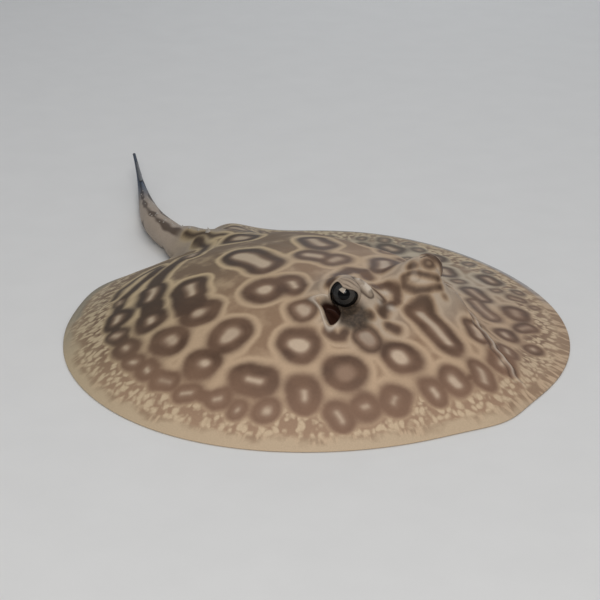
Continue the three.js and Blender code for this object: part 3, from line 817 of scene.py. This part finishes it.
marked = places.copy()
marked[:, 0] += UNEVENNESS * waver(places, 0.15, 11)
marked[:, 1] += UNEVENNESS * waver(places, 0.15, 12)
outer, inner, pale = ring_field(marked[:, 0], marked[:, 1])
outer = np.maximum(outer, line_field(marked, BRIDGES))
brown = np.minimum(outer, 0.95 * inner - 0.001)
stripes = line_field(marked, [(0.5 * width + 0.009, points) for width, points in STRIPES])
small_ring = away_from(SMALL_RING)
stripes = np.maximum(stripes, np.minimum(SMALL_RING_RADIUS - small_ring, small_ring - 0.002))
brown = np.maximum(brown, stripes)
outer = np.maximum(outer, stripes)
brown[lower_rows] = outer[lower_rows] = -DEPTH_LIMIT


def set_attribute(piece, name, values):
    """A value at every point of a piece's mesh for its material to read."""
    values = np.asarray(values, dtype=np.float32)
    kind, key = ("FLOAT", "value") if values.ndim == 1 else ("FLOAT_VECTOR", "vector")
    piece.data.attributes.new(name, kind, "POINT").data.foreach_set(key, values.ravel())


def on_skin(rows, values, elsewhere=0.0):
    whole = np.full(len(places), elsewhere)
    whole[rows.ravel()] = values.ravel()
    return whole


# The skin round each eye, and the dark patch below the right one, darker skin with painted shade under the
# eye mound: middle and reach.
FACE = np.array([0.42, 0.17, 0.30])
FACE_REACH = (0.26, 0.20, 0.20)
CHEEK = (0.444, -0.214, 0.274)
CHEEK_REACH = (0.088, 0.075, 0.075)

bearing, rim_share, _ = disc_place(place_x, place_y)
way = np.radians(bearing)
fold_shade = smooth(-0.004, 0.002, line_field(places, FOLD_SHADE_LINES))
blotched = np.max([swell(away_from(blotch), BLOTCH_REACH) for blotch in BLOTCHES], axis=0)
below_rim = smooth(0.985, 0.93, rim_share)
under_places = np.append(lower_rows, belly)
face = np.minimum(away_from(FACE, FACE_REACH), away_from(FACE * [1, -1, 1], FACE_REACH))
cheek_skin_and_shade = away_from(CHEEK, CHEEK_REACH)
root = np.hypot((place_x - TAIL_ROOT_X) / 0.22, place_y / 0.16)
for name, values in {
    "brown": np.clip(brown, -DEPTH_LIMIT, DEPTH_LIMIT),
    "outer": np.clip(outer, -DEPTH_LIMIT, DEPTH_LIMIT),
    "spot": np.clip(-inner, -DEPTH_LIMIT, DEPTH_LIMIT),
    "pale": pale,
    "share": rim_share,
    "round_rim": np.stack([np.cos(way), np.sin(way), rim_share], axis=1),
    "under": on_skin(under_places, below_rim[under_places]),
    "inside": on_skin(upper_rows, spiracle_depth) + on_skin(lower_rows, 0.8 * belly_depth),
    "lids": on_skin(upper_rows, eye_distance, FAR_FROM_EYE),
    "bulge": on_skin(upper_rows, bulges),
    "crease_shade": np.maximum(on_skin(upper_rows, crease_shade_mask), fold_shade),
    "lip": np.maximum(on_skin(upper_rows, spiracle_lip), blotched),
    "cheek_skin_and_shade": smooth(1.15, 0.55, cheek_skin_and_shade),
    "face": smooth(1.2, 0.3, face),
    "off_root": smooth(0.7, 1.1, root),
}.items():
    set_attribute(skin_piece, name, values)

# Along the tail: how far along it a place is, and dark blotches in three rows: half width of the
# row, how much that wavers, over what span and by what seed, the angle round the tail and how
# far the row sways from it.
BLOTCH_ROWS = [
    (14.0, 6.0, 0.10, 22, 115.0, 6.0),
    (10.0, 26.0, 0.20, 23, 215.0, 0.0),
    (14.0, 18.0, 0.17, 24, 45.0, 0.0),
]

tail_share, tail_turn = np.zeros((2, len(places)))
tail_places = slice(tail_first, tail_first + TAIL_RINGS * len(root_ring))
tail_share[tail_places] = np.repeat(ring_shares, len(root_ring))
tail_turn[tail_places] = np.tile(np.degrees(ring_angle), TAIL_RINGS)
tail_share[-1], tail_turn[-1] = 1.0, 90.0
sway = waver(places, 0.25, 21)
blotch_rows = np.max([half + more * waver(places, span, seed) - np.abs(tail_turn - turn + swing * sway)
                      for half, more, span, seed, turn, swing in BLOTCH_ROWS], axis=0)
set_attribute(skin_piece, "tail", tail_share)
set_attribute(skin_piece, "blotch", np.where(tail_share > 0.0, blotch_rows / 30.0, -1.0))

# ---- skin: material
# The skin is soft and wet, and its colours lie in it in layers: a cream ground with tan patches,
# brown rings, a mottled rim, and what the head, tail and underside have of their own.


class Paint:
    """A material's nodes; each call adds one node and joins its inputs."""

    def __init__(self, name):
        self.material = bpy.data.materials.new(name)
        self.material.use_nodes = True
        self.tree = self.material.node_tree
        self.tree.nodes.clear()
        self.place = self.add("ShaderNodeTexCoord").outputs["Object"]

    def add(self, kind, inputs=None, **settings):
        node = self.tree.nodes.new(kind)
        for key, value in settings.items():
            setattr(node, key, value)
        for key, value in (inputs or {}).items():
            if isinstance(value, bpy.types.NodeSocket):
                self.tree.links.new(value, node.inputs[key])
            else:
                node.inputs[key].default_value = value
        return node

    def value(self, name):
        return self.add("ShaderNodeAttribute", attribute_name=name).outputs["Fac"]

    def math(self, operation, first, second):
        return self.add("ShaderNodeMath", {0: first, 1: second}, operation=operation).outputs[0]

    def plus(self, first, second):
        return self.math("ADD", first, second)

    def less(self, first, second):
        return self.math("SUBTRACT", first, second)

    def times(self, product, *factors):
        for factor in factors:
            product = self.math("MULTIPLY", product, factor)
        return product

    def vector(self, operation, first, second):
        return self.add("ShaderNodeVectorMath", {0: first, 1: second}, operation=operation).outputs[0]

    def ramp(self, value, start, end, low=0.0, high=1.0):
        node = self.add("ShaderNodeMapRange", {"Value": value, "From Min": start, "From Max": end,
                                               "To Min": low, "To Max": high},
                        interpolation_type="SMOOTHSTEP")
        return node.outputs[0]

    def blend(self, share, first, second, mode="MIX"):
        node = self.add("ShaderNodeMix", {0: share, 6: first, 7: second}, data_type="RGBA", blend_type=mode)
        return node.outputs[2]

    def lay(self, under, over, *shares):
        """One colour laid over another, as strongly as the product of the shares."""
        return self.blend(self.times(*shares), under, over)

    def noise(self, place, scale, detail=2.0, roughness=0.5):
        node = self.add("ShaderNodeTexNoise", {"Vector": place, "Scale": scale, "Detail": detail,
                                               "Roughness": roughness})
        return node.outputs["Fac"]

    def finish(self, base, inputs, relief=None, strength=0.0, height=0.0):
        """The material with its colour, the shader's other inputs and any fine relief, whose
        height is in metres."""
        shader = self.add("ShaderNodeBsdfPrincipled", {"Base Color": base, **inputs})
        if relief is not None:
            bump = self.add("ShaderNodeBump", {"Strength": strength, "Distance": height, "Height": relief})
            self.tree.links.new(bump.outputs[0], shader.inputs["Normal"])
        self.add("ShaderNodeOutputMaterial", {"Surface": shader.outputs[0]})
        return self.material


def colour(red, green, blue):
    """A colour as the eye reads it, 0 to 255, in the units of the shader."""
    def part(level):
        level /= 255.0
        return level / 12.92 if level <= 0.04045 else ((level + 0.055) / 1.055) ** 2.4
    return (part(red), part(green), part(blue), 1.0)


paint = Paint("ray_skin_paint")
radii = paint.vector("MULTIPLY", paint.place, (1.0 / RADIUS,) * 3)
axes = paint.add("ShaderNodeSeparateXYZ", {0: radii}).outputs
forward, left = axes["X"], axes["Y"]
share = paint.value("share")
face = paint.value("face")
inside = paint.value("inside")
off_root = paint.value("off_root")
grain = paint.noise(radii, 55.0, 4.0, 0.6)
mottle = paint.noise(radii, 9.0, 3.0)
wobble = paint.times(paint.less(grain, 0.5), 0.006)
brown_depth = paint.plus(paint.value("brown"), wobble)
outer_depth = paint.plus(paint.value("outer"), wobble)
rear = paint.ramp(forward, 0.1, -0.3)
far_side = paint.times(paint.ramp(left, 0.25, 0.7), paint.ramp(forward, 0.5, 0.1))
front_rim = paint.times(paint.ramp(share, 0.66, 0.88), paint.ramp(forward, -0.35, 0.1),
                        paint.ramp(left, 0.5, 0.2))

# a cream net with tan patches in its meshes
cream = paint.lay(colour(200, 176, 148), colour(214, 192, 158), rear, paint.ramp(left, 0.4, 0.0), 0.8)
cream = paint.lay(cream, colour(196, 185, 167), far_side, 0.8)
tan = paint.lay(colour(150, 124, 100), colour(112, 93, 77), rear, 0.8)
patch = paint.ramp(outer_depth, -0.014, -0.031)
coat = paint.lay(cream, tan, patch, paint.ramp(mottle, 0.30, 0.52, 0.45, 1.0), 0.9)

# the spots in the rings, and the rings
spot_light = paint.times(paint.ramp(paint.value("pale"), 0.4, 1.0),
                         paint.ramp(paint.value("spot"), -0.008, 0.018))
spot_colour = paint.blend(spot_light, colour(156, 131, 111), colour(209, 191, 169))
coat = paint.blend(paint.ramp(outer_depth, 0.0, 0.03), coat, spot_colour)
ring_colour = paint.blend(paint.ramp(mottle, 0.3, 0.7), colour(96, 74, 59), colour(122, 97, 79))
ring_colour = paint.lay(ring_colour, colour(74, 61, 50), rear, 0.8)
ring_colour = paint.lay(ring_colour, colour(90, 75, 60), far_side, 0.7)
ring_colour = paint.lay(ring_colour, colour(86, 71, 59), face, 0.8)
ring_colour = paint.lay(ring_colour, colour(146, 118, 98), front_rim, 0.75)
coat = paint.blend(paint.ramp(brown_depth, -0.015, 0.020), coat, ring_colour)

# the edge of the disc: pale dots in a brown net, then streaks, then a plain pale hem, and a painted sheen
# along the far rim
round_rim = paint.add("ShaderNodeAttribute", attribute_name="round_rim").outputs["Vector"]
rim_place = paint.vector("MULTIPLY", round_rim, (1.0, 1.0, 0.85))
stirred = paint.add("ShaderNodeTexNoise", {"Vector": radii, "Scale": 16.0, "Detail": 2.0}).outputs["Color"]
dot_place = paint.vector("ADD", rim_place, paint.vector("MULTIPLY", stirred, (0.05, 0.05, 0.05)))
cells = paint.add("ShaderNodeTexVoronoi", {"Vector": dot_place, "Scale": 40.0, "Smoothness": 0.5},
                  feature="SMOOTH_F1").outputs["Distance"]
dots = paint.ramp(paint.plus(cells, paint.times(grain, 0.25)), 0.80, 0.42)
net = paint.blend(paint.ramp(share, 0.86, 0.97), colour(138, 114, 94), colour(170, 147, 123))
net = paint.lay(net, colour(174, 147, 123), front_rim, 0.7)
dotted = paint.blend(dots, net, colour(212, 193, 164))
streak_place = paint.vector("MULTIPLY", rim_place, (1.0, 1.0, 0.35))
streaks = paint.ramp(paint.noise(streak_place, 40.0), 0.40, 0.54)
streaked = paint.lay(colour(206, 184, 156), colour(146, 122, 100), streaks, 0.75)
rim_colour = paint.blend(paint.ramp(share, 0.945, 0.965), dotted, streaked)
rim_start = paint.plus(share, paint.times(paint.less(mottle, 0.5), 0.10))
coat = paint.lay(coat, rim_colour, paint.ramp(rim_start, 0.795, 0.85), off_root,
                 paint.ramp(outer_depth, 0.004, -0.012))
left_rim = paint.ramp(left, -0.1, 0.4)
rim_end = paint.less(rim_start, paint.times(left_rim, 0.045))
rear_rim = paint.times(paint.ramp(forward, -0.3, -0.8), paint.ramp(left, 0.1, -0.2))
hem = paint.blend(rear_rim, colour(203, 185, 158), colour(158, 150, 138))
coat = paint.lay(coat, hem, paint.ramp(rim_end, 0.945, 0.985), off_root,
                 paint.ramp(left_rim, 0.0, 1.0, 1.0, 0.45))
# painted sheen: a blue white band on the outermost far rim, where light grazes the skin
far_rim_sheen = paint.times(paint.ramp(left, 0.1, 0.5), paint.ramp(forward, 0.45, 0.1))
coat = paint.lay(coat, colour(182, 190, 200), far_rim_sheen, paint.ramp(share, 0.955, 0.99), 0.7)

# a tint over all that is pinkish in front and olive grey behind
tint = paint.blend(paint.ramp(forward, -0.8, 0.75), colour(232, 231, 220), colour(252, 244, 238))
coat = paint.blend(1.0, coat, tint, "MULTIPLY")

# paler between the marks where the tail begins and on the face
between_marks = paint.ramp(brown_depth, 0.004, -0.014)
coat = paint.lay(coat, colour(158, 145, 129), paint.less(1.0, off_root), between_marks, 0.85)
coat = paint.lay(coat, colour(184, 171, 154), face, between_marks, 0.65)

# lids, cheeks and the inside of the openings, with painted shade in the creases, the eye sockets, below the
# right eye and in the spiracles
bulge_grey = paint.times(paint.ramp(paint.noise(radii, 26.0), 0.42, 0.62), paint.ramp(left, 0.05, -0.05))
bulge_colour = paint.blend(bulge_grey, colour(218, 205, 188), colour(150, 136, 121))
coat = paint.lay(coat, bulge_colour, paint.value("bulge"), 0.85)
coat = paint.lay(coat, colour(208, 194, 176), paint.value("lip"), 0.7)
# painted shade in the creases: furrows, brow wrinkles, the crease round each bulge and the lines over the
# left mound
coat = paint.lay(coat, colour(80, 65, 54), paint.value("crease_shade"), 0.85)
# painted shade in the eye sockets and along the rims of the lids
coat = paint.lay(coat, colour(46, 38, 32), paint.ramp(paint.value("lids"), 0.27, 0.225), 0.9)
# the dark patch below the right eye: darker speckled skin, deepened with painted shade under the eye mound
speckle = paint.ramp(paint.noise(radii, 70.0, 3.0), 0.35, 0.70)
cheek_skin_and_shade_colour = paint.blend(speckle, colour(54, 44, 35), colour(82, 67, 54))
coat = paint.lay(coat, cheek_skin_and_shade_colour, paint.value("cheek_skin_and_shade"), 0.95)
# the spiracles' red brown lining, darkened with painted shade of the deep openings
coat = paint.blend(paint.ramp(inside, 0.15, 0.7), coat, colour(60, 36, 27))

# tail: grey pink flank, rows of dark blotches, blue grey whip
along_tail = paint.value("tail")
whip = paint.ramp(along_tail, 0.42, 0.72)
tail_ground = paint.blend(mottle, colour(150, 136, 121), colour(178, 162, 145))
tail_ground = paint.blend(whip, tail_ground, colour(74, 84, 98))
blotch_colour = paint.blend(whip, colour(92, 78, 66), colour(50, 54, 60))
blotch = paint.plus(paint.value("blotch"), paint.times(wobble, 12.0))
tail_colour = paint.blend(paint.ramp(blotch, -0.2, 0.3), tail_ground, blotch_colour)
coat = paint.blend(paint.ramp(along_tail, 0.0, 0.08), coat, tail_colour)

# underside: cream white with a brown grey border and flesh pink openings
under_colour = paint.blend(mottle, colour(226, 216, 202), colour(236, 228, 216))
under_colour = paint.lay(under_colour, colour(168, 146, 126), paint.ramp(share, 0.80, 0.93), 0.8)
under_colour = paint.blend(paint.ramp(inside, 0.2, 0.8), under_colour, colour(150, 98, 84))
coat = paint.blend(paint.value("under"), coat, under_colour)

# close, fine grain of the skin
fine = paint.noise(radii, 260.0, 3.0, 0.6)
tone = paint.ramp(fine, 0.25, 0.75, 0.90, 1.06)
grey = paint.add("ShaderNodeCombineColor", {0: tone, 1: tone, 2: tone}).outputs[0]
coat = paint.blend(1.0, coat, grey, "MULTIPLY")
gloss = paint.ramp(mottle, 0.2, 0.8, 0.42, 0.55)
relief = paint.plus(paint.times(fine, 0.5), grain)
skin_piece.data.materials.append(paint.finish(
    coat, {"Roughness": gloss, "IOR": 1.36, "Specular IOR Level": 0.32}, relief, 0.25, 0.0004))

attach(skin_piece, "root")
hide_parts("head", "trunk", "pectoral_fin_left", "pectoral_fin_right",
            "tail_base", "tail_middle", "tail_tip")

# ---- eyes
# Glossy eyeballs with a slightly raised clear front. The iris is dark and grained, with painted light on its
# front side and a dark rim made wide as painted shade of the lids. A pale lobe, the operculum, hangs from its
# top over the black pupil and is also a painted reflection.

EYE_RINGS = 70
EYE_SECTORS = 120
PUPIL_EDGE = 25.0
IRIS_EDGE = 54.0
BALL_SHARE = 0.985
FRONT_RISE = 0.022


def eyeball(name, side):
    """One eyeball; its material reads how far off the gaze each place is, in degrees, and where
    round it."""
    centre, gaze, upward, forward = eye_frame(side)
    off = 180.0 * (np.arange(1, EYE_RINGS) / EYE_RINGS) ** 1.4
    around = np.radians(360.0 * np.arange(EYE_SECTORS) / EYE_SECTORS)
    bend = np.radians(off)[:, None, None]
    reach = EYE_RADIUS * (BALL_SHARE + FRONT_RISE * smooth(46.0, 12.0, off))
    across = np.cos(around)[:, None] * upward + np.sin(around)[:, None] * forward
    rings = centre + reach[:, None, None] * (np.cos(bend) * gaze + np.sin(bend) * across)
    ball = Shell()
    rows = ball.add(rings).reshape(rings.shape[:2])
    if side < 0:
        rows = rows[:, ::-1]
    ball.strips(rows)
    ball.cap(centre + reach[0] * gaze, rows[0])
    ball.cap(centre - BALL_SHARE * EYE_RADIUS * gaze, rows[-1][::-1])
    piece = ball.piece(name)
    off = np.append(np.repeat(off, EYE_SECTORS), [0.0, 180.0])
    around = np.append(np.tile(around, EYE_RINGS - 1), [0.0, 0.0])
    set_attribute(piece, "off", off)
    set_attribute(piece, "up_part", np.cos(around))
    set_attribute(piece, "front_part", np.sin(around))
    lobe_up = off * np.cos(around + 0.25)
    lobe_across = np.abs(off * np.sin(around + 0.25))
    set_attribute(piece, "lobe", lobe_up - 3.0 - 1.15 * lobe_across)
    return piece


paint = Paint("eye_paint")
off = paint.value("off")
front_part = paint.value("front_part")
fibre_place = paint.add("ShaderNodeCombineXYZ", {
    0: paint.times(paint.value("up_part"), 7.0), 1: paint.times(front_part, 7.0),
    2: paint.times(off, 0.05)}).outputs[0]
fibres = paint.noise(fibre_place, 3.0, 4.0, 0.65)
iris = paint.blend(paint.ramp(fibres, 0.35, 0.7), colour(30, 30, 30), colour(66, 65, 64))
# painted light: the iris is lighter on its front side
iris = paint.lay(iris, colour(96, 88, 78), paint.ramp(front_part, -0.4, 1.0), 0.25)
# a dark rim round the iris, made wide as painted shade of the lids
iris = paint.blend(paint.ramp(off, IRIS_EDGE - 9.0, IRIS_EDGE - 2.0), iris, colour(14, 13, 12))
pupil = paint.ramp(paint.plus(off, paint.times(fibres, 3.0)), PUPIL_EDGE + 3.0, PUPIL_EDGE)
iris = paint.blend(pupil, iris, colour(4, 4, 5))
# a pale lobe, the operculum, that also stands in as a painted reflection over the pupil
lobe = paint.ramp(paint.plus(paint.value("lobe"), paint.times(fibres, 4.0)), 1.0, 3.5)
iris = paint.lay(iris, colour(176, 164, 148), lobe, paint.ramp(off, PUPIL_EDGE + 5.0, PUPIL_EDGE))
white = paint.blend(paint.ramp(off, IRIS_EDGE + 6.0, IRIS_EDGE + 20.0), colour(12, 11, 11),
                    colour(22, 20, 18))
eye_colour = paint.blend(paint.ramp(off, IRIS_EDGE - 2.0, IRIS_EDGE + 1.0), iris, white)
eye_material = paint.finish(eye_colour, {"Roughness": 0.3, "Specular IOR Level": 0.0, "Coat Weight": 0.5,
                                         "Coat IOR": 1.38, "Coat Roughness": 0.05})
for word, side in (("left", 1), ("right", -1)):
    eye_piece = eyeball("eye_ball_" + word, side)
    eye_piece.data.materials.append(eye_material)
    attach(eye_piece, "root")
    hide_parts("eye_" + word)

# ---- pelvic fins
# Two small soft fins lie flat under the hind edge of the disc, one on each side of the tail.
# Fine rays of cartilage stiffen them and show through the thin skin.

PELVIC_X = -0.79
PELVIC_Y = 0.165
PELVIC_HALF_LENGTH = 0.15
PELVIC_HALF_WIDTH = 0.115
PELVIC_THICKNESS = 0.0125


def pelvic_fin(name, side):
    around = 2.0 * math.pi * np.arange(180) / 180
    corner = 0.02 * swell(turn_from(np.degrees(around), 135.0), 30.0)
    out_x = (PELVIC_HALF_LENGTH + corner) * np.cos(around)
    out_y = (PELVIC_HALF_WIDTH + corner) * np.sin(around)
    shares = np.sin(0.5 * math.pi * np.linspace(0.0, 1.0, 25)[1:])[:, None]
    x = PELVIC_X + shares * out_x
    y = side * (PELVIC_Y + shares * out_y)
    half = 0.5 * PELVIC_THICKNESS * (1.0 - 0.35 * shares ** 2) * np.sqrt(1.0 - 0.999 * shares ** 8)
    ridges = 0.0009 * np.sin(out_x * 260.0 + out_y * 40.0) * shares * (1.0 - shares) * 4.0
    fin = Shell()
    edges = []
    for face in (1.0, -1.0):
        height = 0.5 * PELVIC_THICKNESS + face * (half - ridges)
        grid = fin.add(np.stack([x, y, height], axis=-1)).reshape(x.shape)
        if face * side < 0:
            grid = grid[:, ::-1]
        fin.cap([PELVIC_X, side * PELVIC_Y, 0.5 * PELVIC_THICKNESS * (1.0 + face)], grid[0])
        fin.strips(grid)
        edges.append(grid[-1])
    fin.strips([edges[0], edges[1][::-1]])
    return fin.piece(name)


paint = Paint("pelvic_fin_paint")
rays = paint.add("ShaderNodeTexWave", {"Vector": paint.place, "Scale": 210.0, "Distortion": 1.5},
                 bands_direction="X").outputs["Fac"]
fin_colour = paint.blend(paint.noise(paint.place, 160.0, 3.0), colour(206, 186, 168), colour(226, 210, 194))
fin_colour = paint.lay(fin_colour, colour(176, 150, 132), rays, 0.35)
fin_material = paint.finish(fin_colour, {"Roughness": 0.46, "IOR": 1.4}, rays, 0.3, 0.0003)
for word, side in (("left", 1), ("right", -1)):
    fin_piece = pelvic_fin("pelvic_skin_" + word, side)
    fin_piece.data.materials.append(fin_material)
    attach(fin_piece, "root")
    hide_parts("pelvic_fin_" + word)

# ---- tail thorns
# A row of hooked thorns of dentine runs down the midline of the tail, with small ones beside it.
# Each grows from a round base in the skin and leans back.

# distance behind the root of the tail in radii, and height in mm
THORNS = [(-0.11, 2.3), (-0.03, 0.8), (0.04, 1.1), (0.10, 1.3), (0.18, 0.8), (0.27, 1.0), (0.38, 0.8),
          (0.52, 0.8)]
SMALL_THORNS = 26
MILLIMETRE = 0.001 / RADIUS
THORN_POINTS = 18
THORN_FOOT = 0.25
THORN_SINK = 0.1
THORN_LEAN = 0.55
SMALL_THORN_LEAN = 0.6


def add_thorn(shell, foot, heading, height, lean):
    """One fluted thorn; its foot goes a share of its height into the skin."""
    back_way = np.array([-math.cos(heading), math.sin(heading), 0.0])
    side_way = np.array([math.sin(heading), math.cos(heading), 0.0])
    upward = np.array([0.0, 0.0, 1.0])
    around = 2.0 * math.pi * np.arange(THORN_POINTS)[:, None] / THORN_POINTS
    flute = 1.0 + 0.05 * np.cos(6.0 * around)
    base = 0.55 * height + 0.3 * MILLIMETRE
    rows = []
    for level in np.linspace(0.0, 0.96, 12):
        radius = base * ((1.0 - level) ** 1.25 + 0.35 * smooth(0.25, 0.0, level))
        rise = height * (level if level > 0.0 else -THORN_FOOT)
        middle = foot + lean * height * level ** 1.7 * back_way + rise * upward
        ring = middle - 1.15 * radius * np.cos(around) * flute * back_way
        rows.append(shell.add(ring + 0.85 * radius * np.sin(around) * flute * side_way))
    shell.strips(rows[::-1])
    shell.cap(foot + lean * height * back_way + height * upward, rows[-1])
    shell.cap(foot - THORN_FOOT * height * upward, rows[0][::-1])


thorns = Shell()
for distance, height in THORNS:
    x, y, heading = tail_path(distance)
    half_height, _, middle = tail_section(distance)
    top = mix(upper_height(TAIL_ROOT_X, 0.0), middle + half_height, smooth(0.0, OVAL_FROM, distance))
    if distance < 0.0:
        top = upper_height(x, y)
    foot = np.array([x, y, top - THORN_SINK * height * MILLIMETRE])
    add_thorn(thorns, foot, heading, height * MILLIMETRE, THORN_LEAN)
draw = np.random.default_rng(5)
for _ in range(SMALL_THORNS):
    distance = draw.uniform(0.06, 0.85)
    x, y, heading = tail_path(distance)
    half_height, half_width, middle = tail_section(distance)
    turn = math.radians(90.0 + draw.uniform(-28.0, 28.0))
    out = half_width * math.cos(turn)
    foot = np.array([x + out * math.sin(heading), y + out * math.cos(heading),
                     middle + half_height * math.sin(turn) - THORN_SINK * MILLIMETRE])
    add_thorn(thorns, foot, heading, draw.uniform(0.3, 0.55) * MILLIMETRE, SMALL_THORN_LEAN)
thorn_piece = thorns.piece("tail_thorns")
paint = Paint("thorn_paint")
thorn_colour = paint.blend(paint.noise(paint.place, 900.0, 3.0), colour(146, 138, 128), colour(184, 176, 164))
thorn_piece.data.materials.append(paint.finish(thorn_colour, {"Roughness": 0.38, "IOR": 1.5}))
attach(thorn_piece, "root")

# ---- sting
# A flat dagger of dentine lies on top of the tail, its edges cut into barbs that point back to
# its root. Two grooves run along its underside.

STING_START = 0.98
STING_LENGTH = 0.25
STING_HALF_WIDTH = 1.15 * MILLIMETRE
STING_HALF_THICKNESS = 0.45 * MILLIMETRE
STING_BARBS = 22
BARB_REACH = 0.34 * MILLIMETRE

start_x, start_y, heading = tail_path(STING_START)
start_half, _, start_middle = tail_section(STING_START)
end_half, _, end_middle = tail_section(STING_START + STING_LENGTH)
sting_root = start_middle + start_half + 0.30 * MILLIMETRE
rise = math.atan2(end_middle + end_half - start_middle - start_half, STING_LENGTH)
around = 2.0 * math.pi * np.arange(16) / 16
sideways, upward = np.cos(around), np.sin(around)
groove = 0.35 * swell(np.abs(sideways) - 0.45, 0.18) * (upward < 0.0)
sting = Shell()
rows = []
for share in np.linspace(0.0, 0.985, 420):
    half = STING_HALF_WIDTH * (1.0 - share) ** 0.6 * (0.82 + 0.18 * smooth(0.0, 0.12, share))
    thick = STING_HALF_THICKNESS * (1.0 - share) ** 0.45 + 0.02 * MILLIMETRE
    tooth = (1.0 - (share * STING_BARBS) % 1.0) ** 1.5
    barb = BARB_REACH * tooth * smooth(0.18, 0.3, share) * smooth(0.985, 0.93, share)
    across = np.sign(sideways) * (np.abs(sideways) ** 0.8 * half + barb * (np.abs(sideways) > 0.95))
    back = share * STING_LENGTH * math.cos(rise)
    x = start_x - back * math.cos(heading) + across * math.sin(heading)
    y = start_y + back * math.sin(heading) + across * math.cos(heading)
    z = sting_root + share * STING_LENGTH * math.sin(rise) + thick * (1.0 + upward * (1.0 - groove))
    rows.append(sting.add(np.stack([x, y, z], axis=1)))
sting.strips(rows)
sting.cap(sting.points[0].mean(axis=0), rows[0])
sting.cap(np.stack([x, y, z], axis=1).mean(axis=0), rows[-1][::-1])
sting_piece = sting.piece("sting_blade")
paint = Paint("sting_paint")
dentine = paint.noise(paint.place, 1200.0, 4.0, 0.6)
sting_colour = paint.blend(dentine, colour(70, 74, 80), colour(104, 104, 102))
sting_piece.data.materials.append(paint.finish(
    sting_colour, {"Roughness": 0.35, "IOR": 1.5}, dentine, 0.2, 0.0001))
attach(sting_piece, "root")
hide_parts("sting")

# ---- floor, light and camera
# A plain pale floor and soft lamps, as for a studio view of a museum model.
floor_mesh = bpy.data.meshes.new("floor")
floor_mesh.from_pydata([(-6, -6, 0), (6, -6, 0), (6, 6, 0), (-6, 6, 0)], [], [(0, 1, 2, 3)])
floor = bpy.data.objects.new("floor", floor_mesh)
bpy.context.scene.collection.objects.link(floor)
floor.location.z = -0.0002
paint = Paint("floor_paint")
floor_colour = paint.blend(paint.noise(paint.place, 40.0, 4.0), colour(226, 225, 222), colour(232, 231, 228))
floor.data.materials.append(paint.finish(floor_colour, {"Roughness": 0.8}))


def lamp(name, where, size, power, tint=(1.0, 1.0, 1.0)):
    """A round soft lamp that shines on the middle of the floor."""
    light = bpy.data.lights.new(name, "AREA")
    light.shape = "DISK"
    light.size = size
    light.energy = power
    light.color = tint
    holder = bpy.data.objects.new(name, light)
    holder.location = where
    holder.rotation_euler = (-Vector(where)).to_track_quat("-Z", "Y").to_euler()
    bpy.context.scene.collection.objects.link(holder)


lamp("overhead", (0.0, 0.1, 1.1), 0.9, 2.6)
lamp("far_side", (-0.7, 0.7, 0.5), 0.6, 0.9, (0.88, 0.94, 1.0))
lamp("near_side", (0.9, -0.7, 0.8), 0.6, 7.6, (1.0, 0.985, 0.965))

world = bpy.data.worlds.new("studio")
world.use_nodes = True
world.node_tree.nodes["Background"].inputs["Color"].default_value = (0.9, 0.93, 1.0, 1.0)
world.node_tree.nodes["Background"].inputs["Strength"].default_value = 0.30
bpy.context.scene.world = world
bpy.context.scene.view_settings.view_transform = "Standard"

LENS = 105.03
CAMERA_PLACE = Vector((5.0936, -3.9203, 2.8281))
CAMERA_AIM = Vector((-0.0686, -0.0705, 0.13))

camera_data = bpy.data.cameras.new("camera")
camera_data.lens = LENS
camera_data.sensor_width = 36.0
camera = bpy.data.objects.new("camera", camera_data)
camera.location = CAMERA_PLACE * RADIUS
camera.rotation_euler = (CAMERA_AIM - CAMERA_PLACE).to_track_quat("-Z", "Y").to_euler()
bpy.context.scene.collection.objects.link(camera)
bpy.context.scene.camera = camera
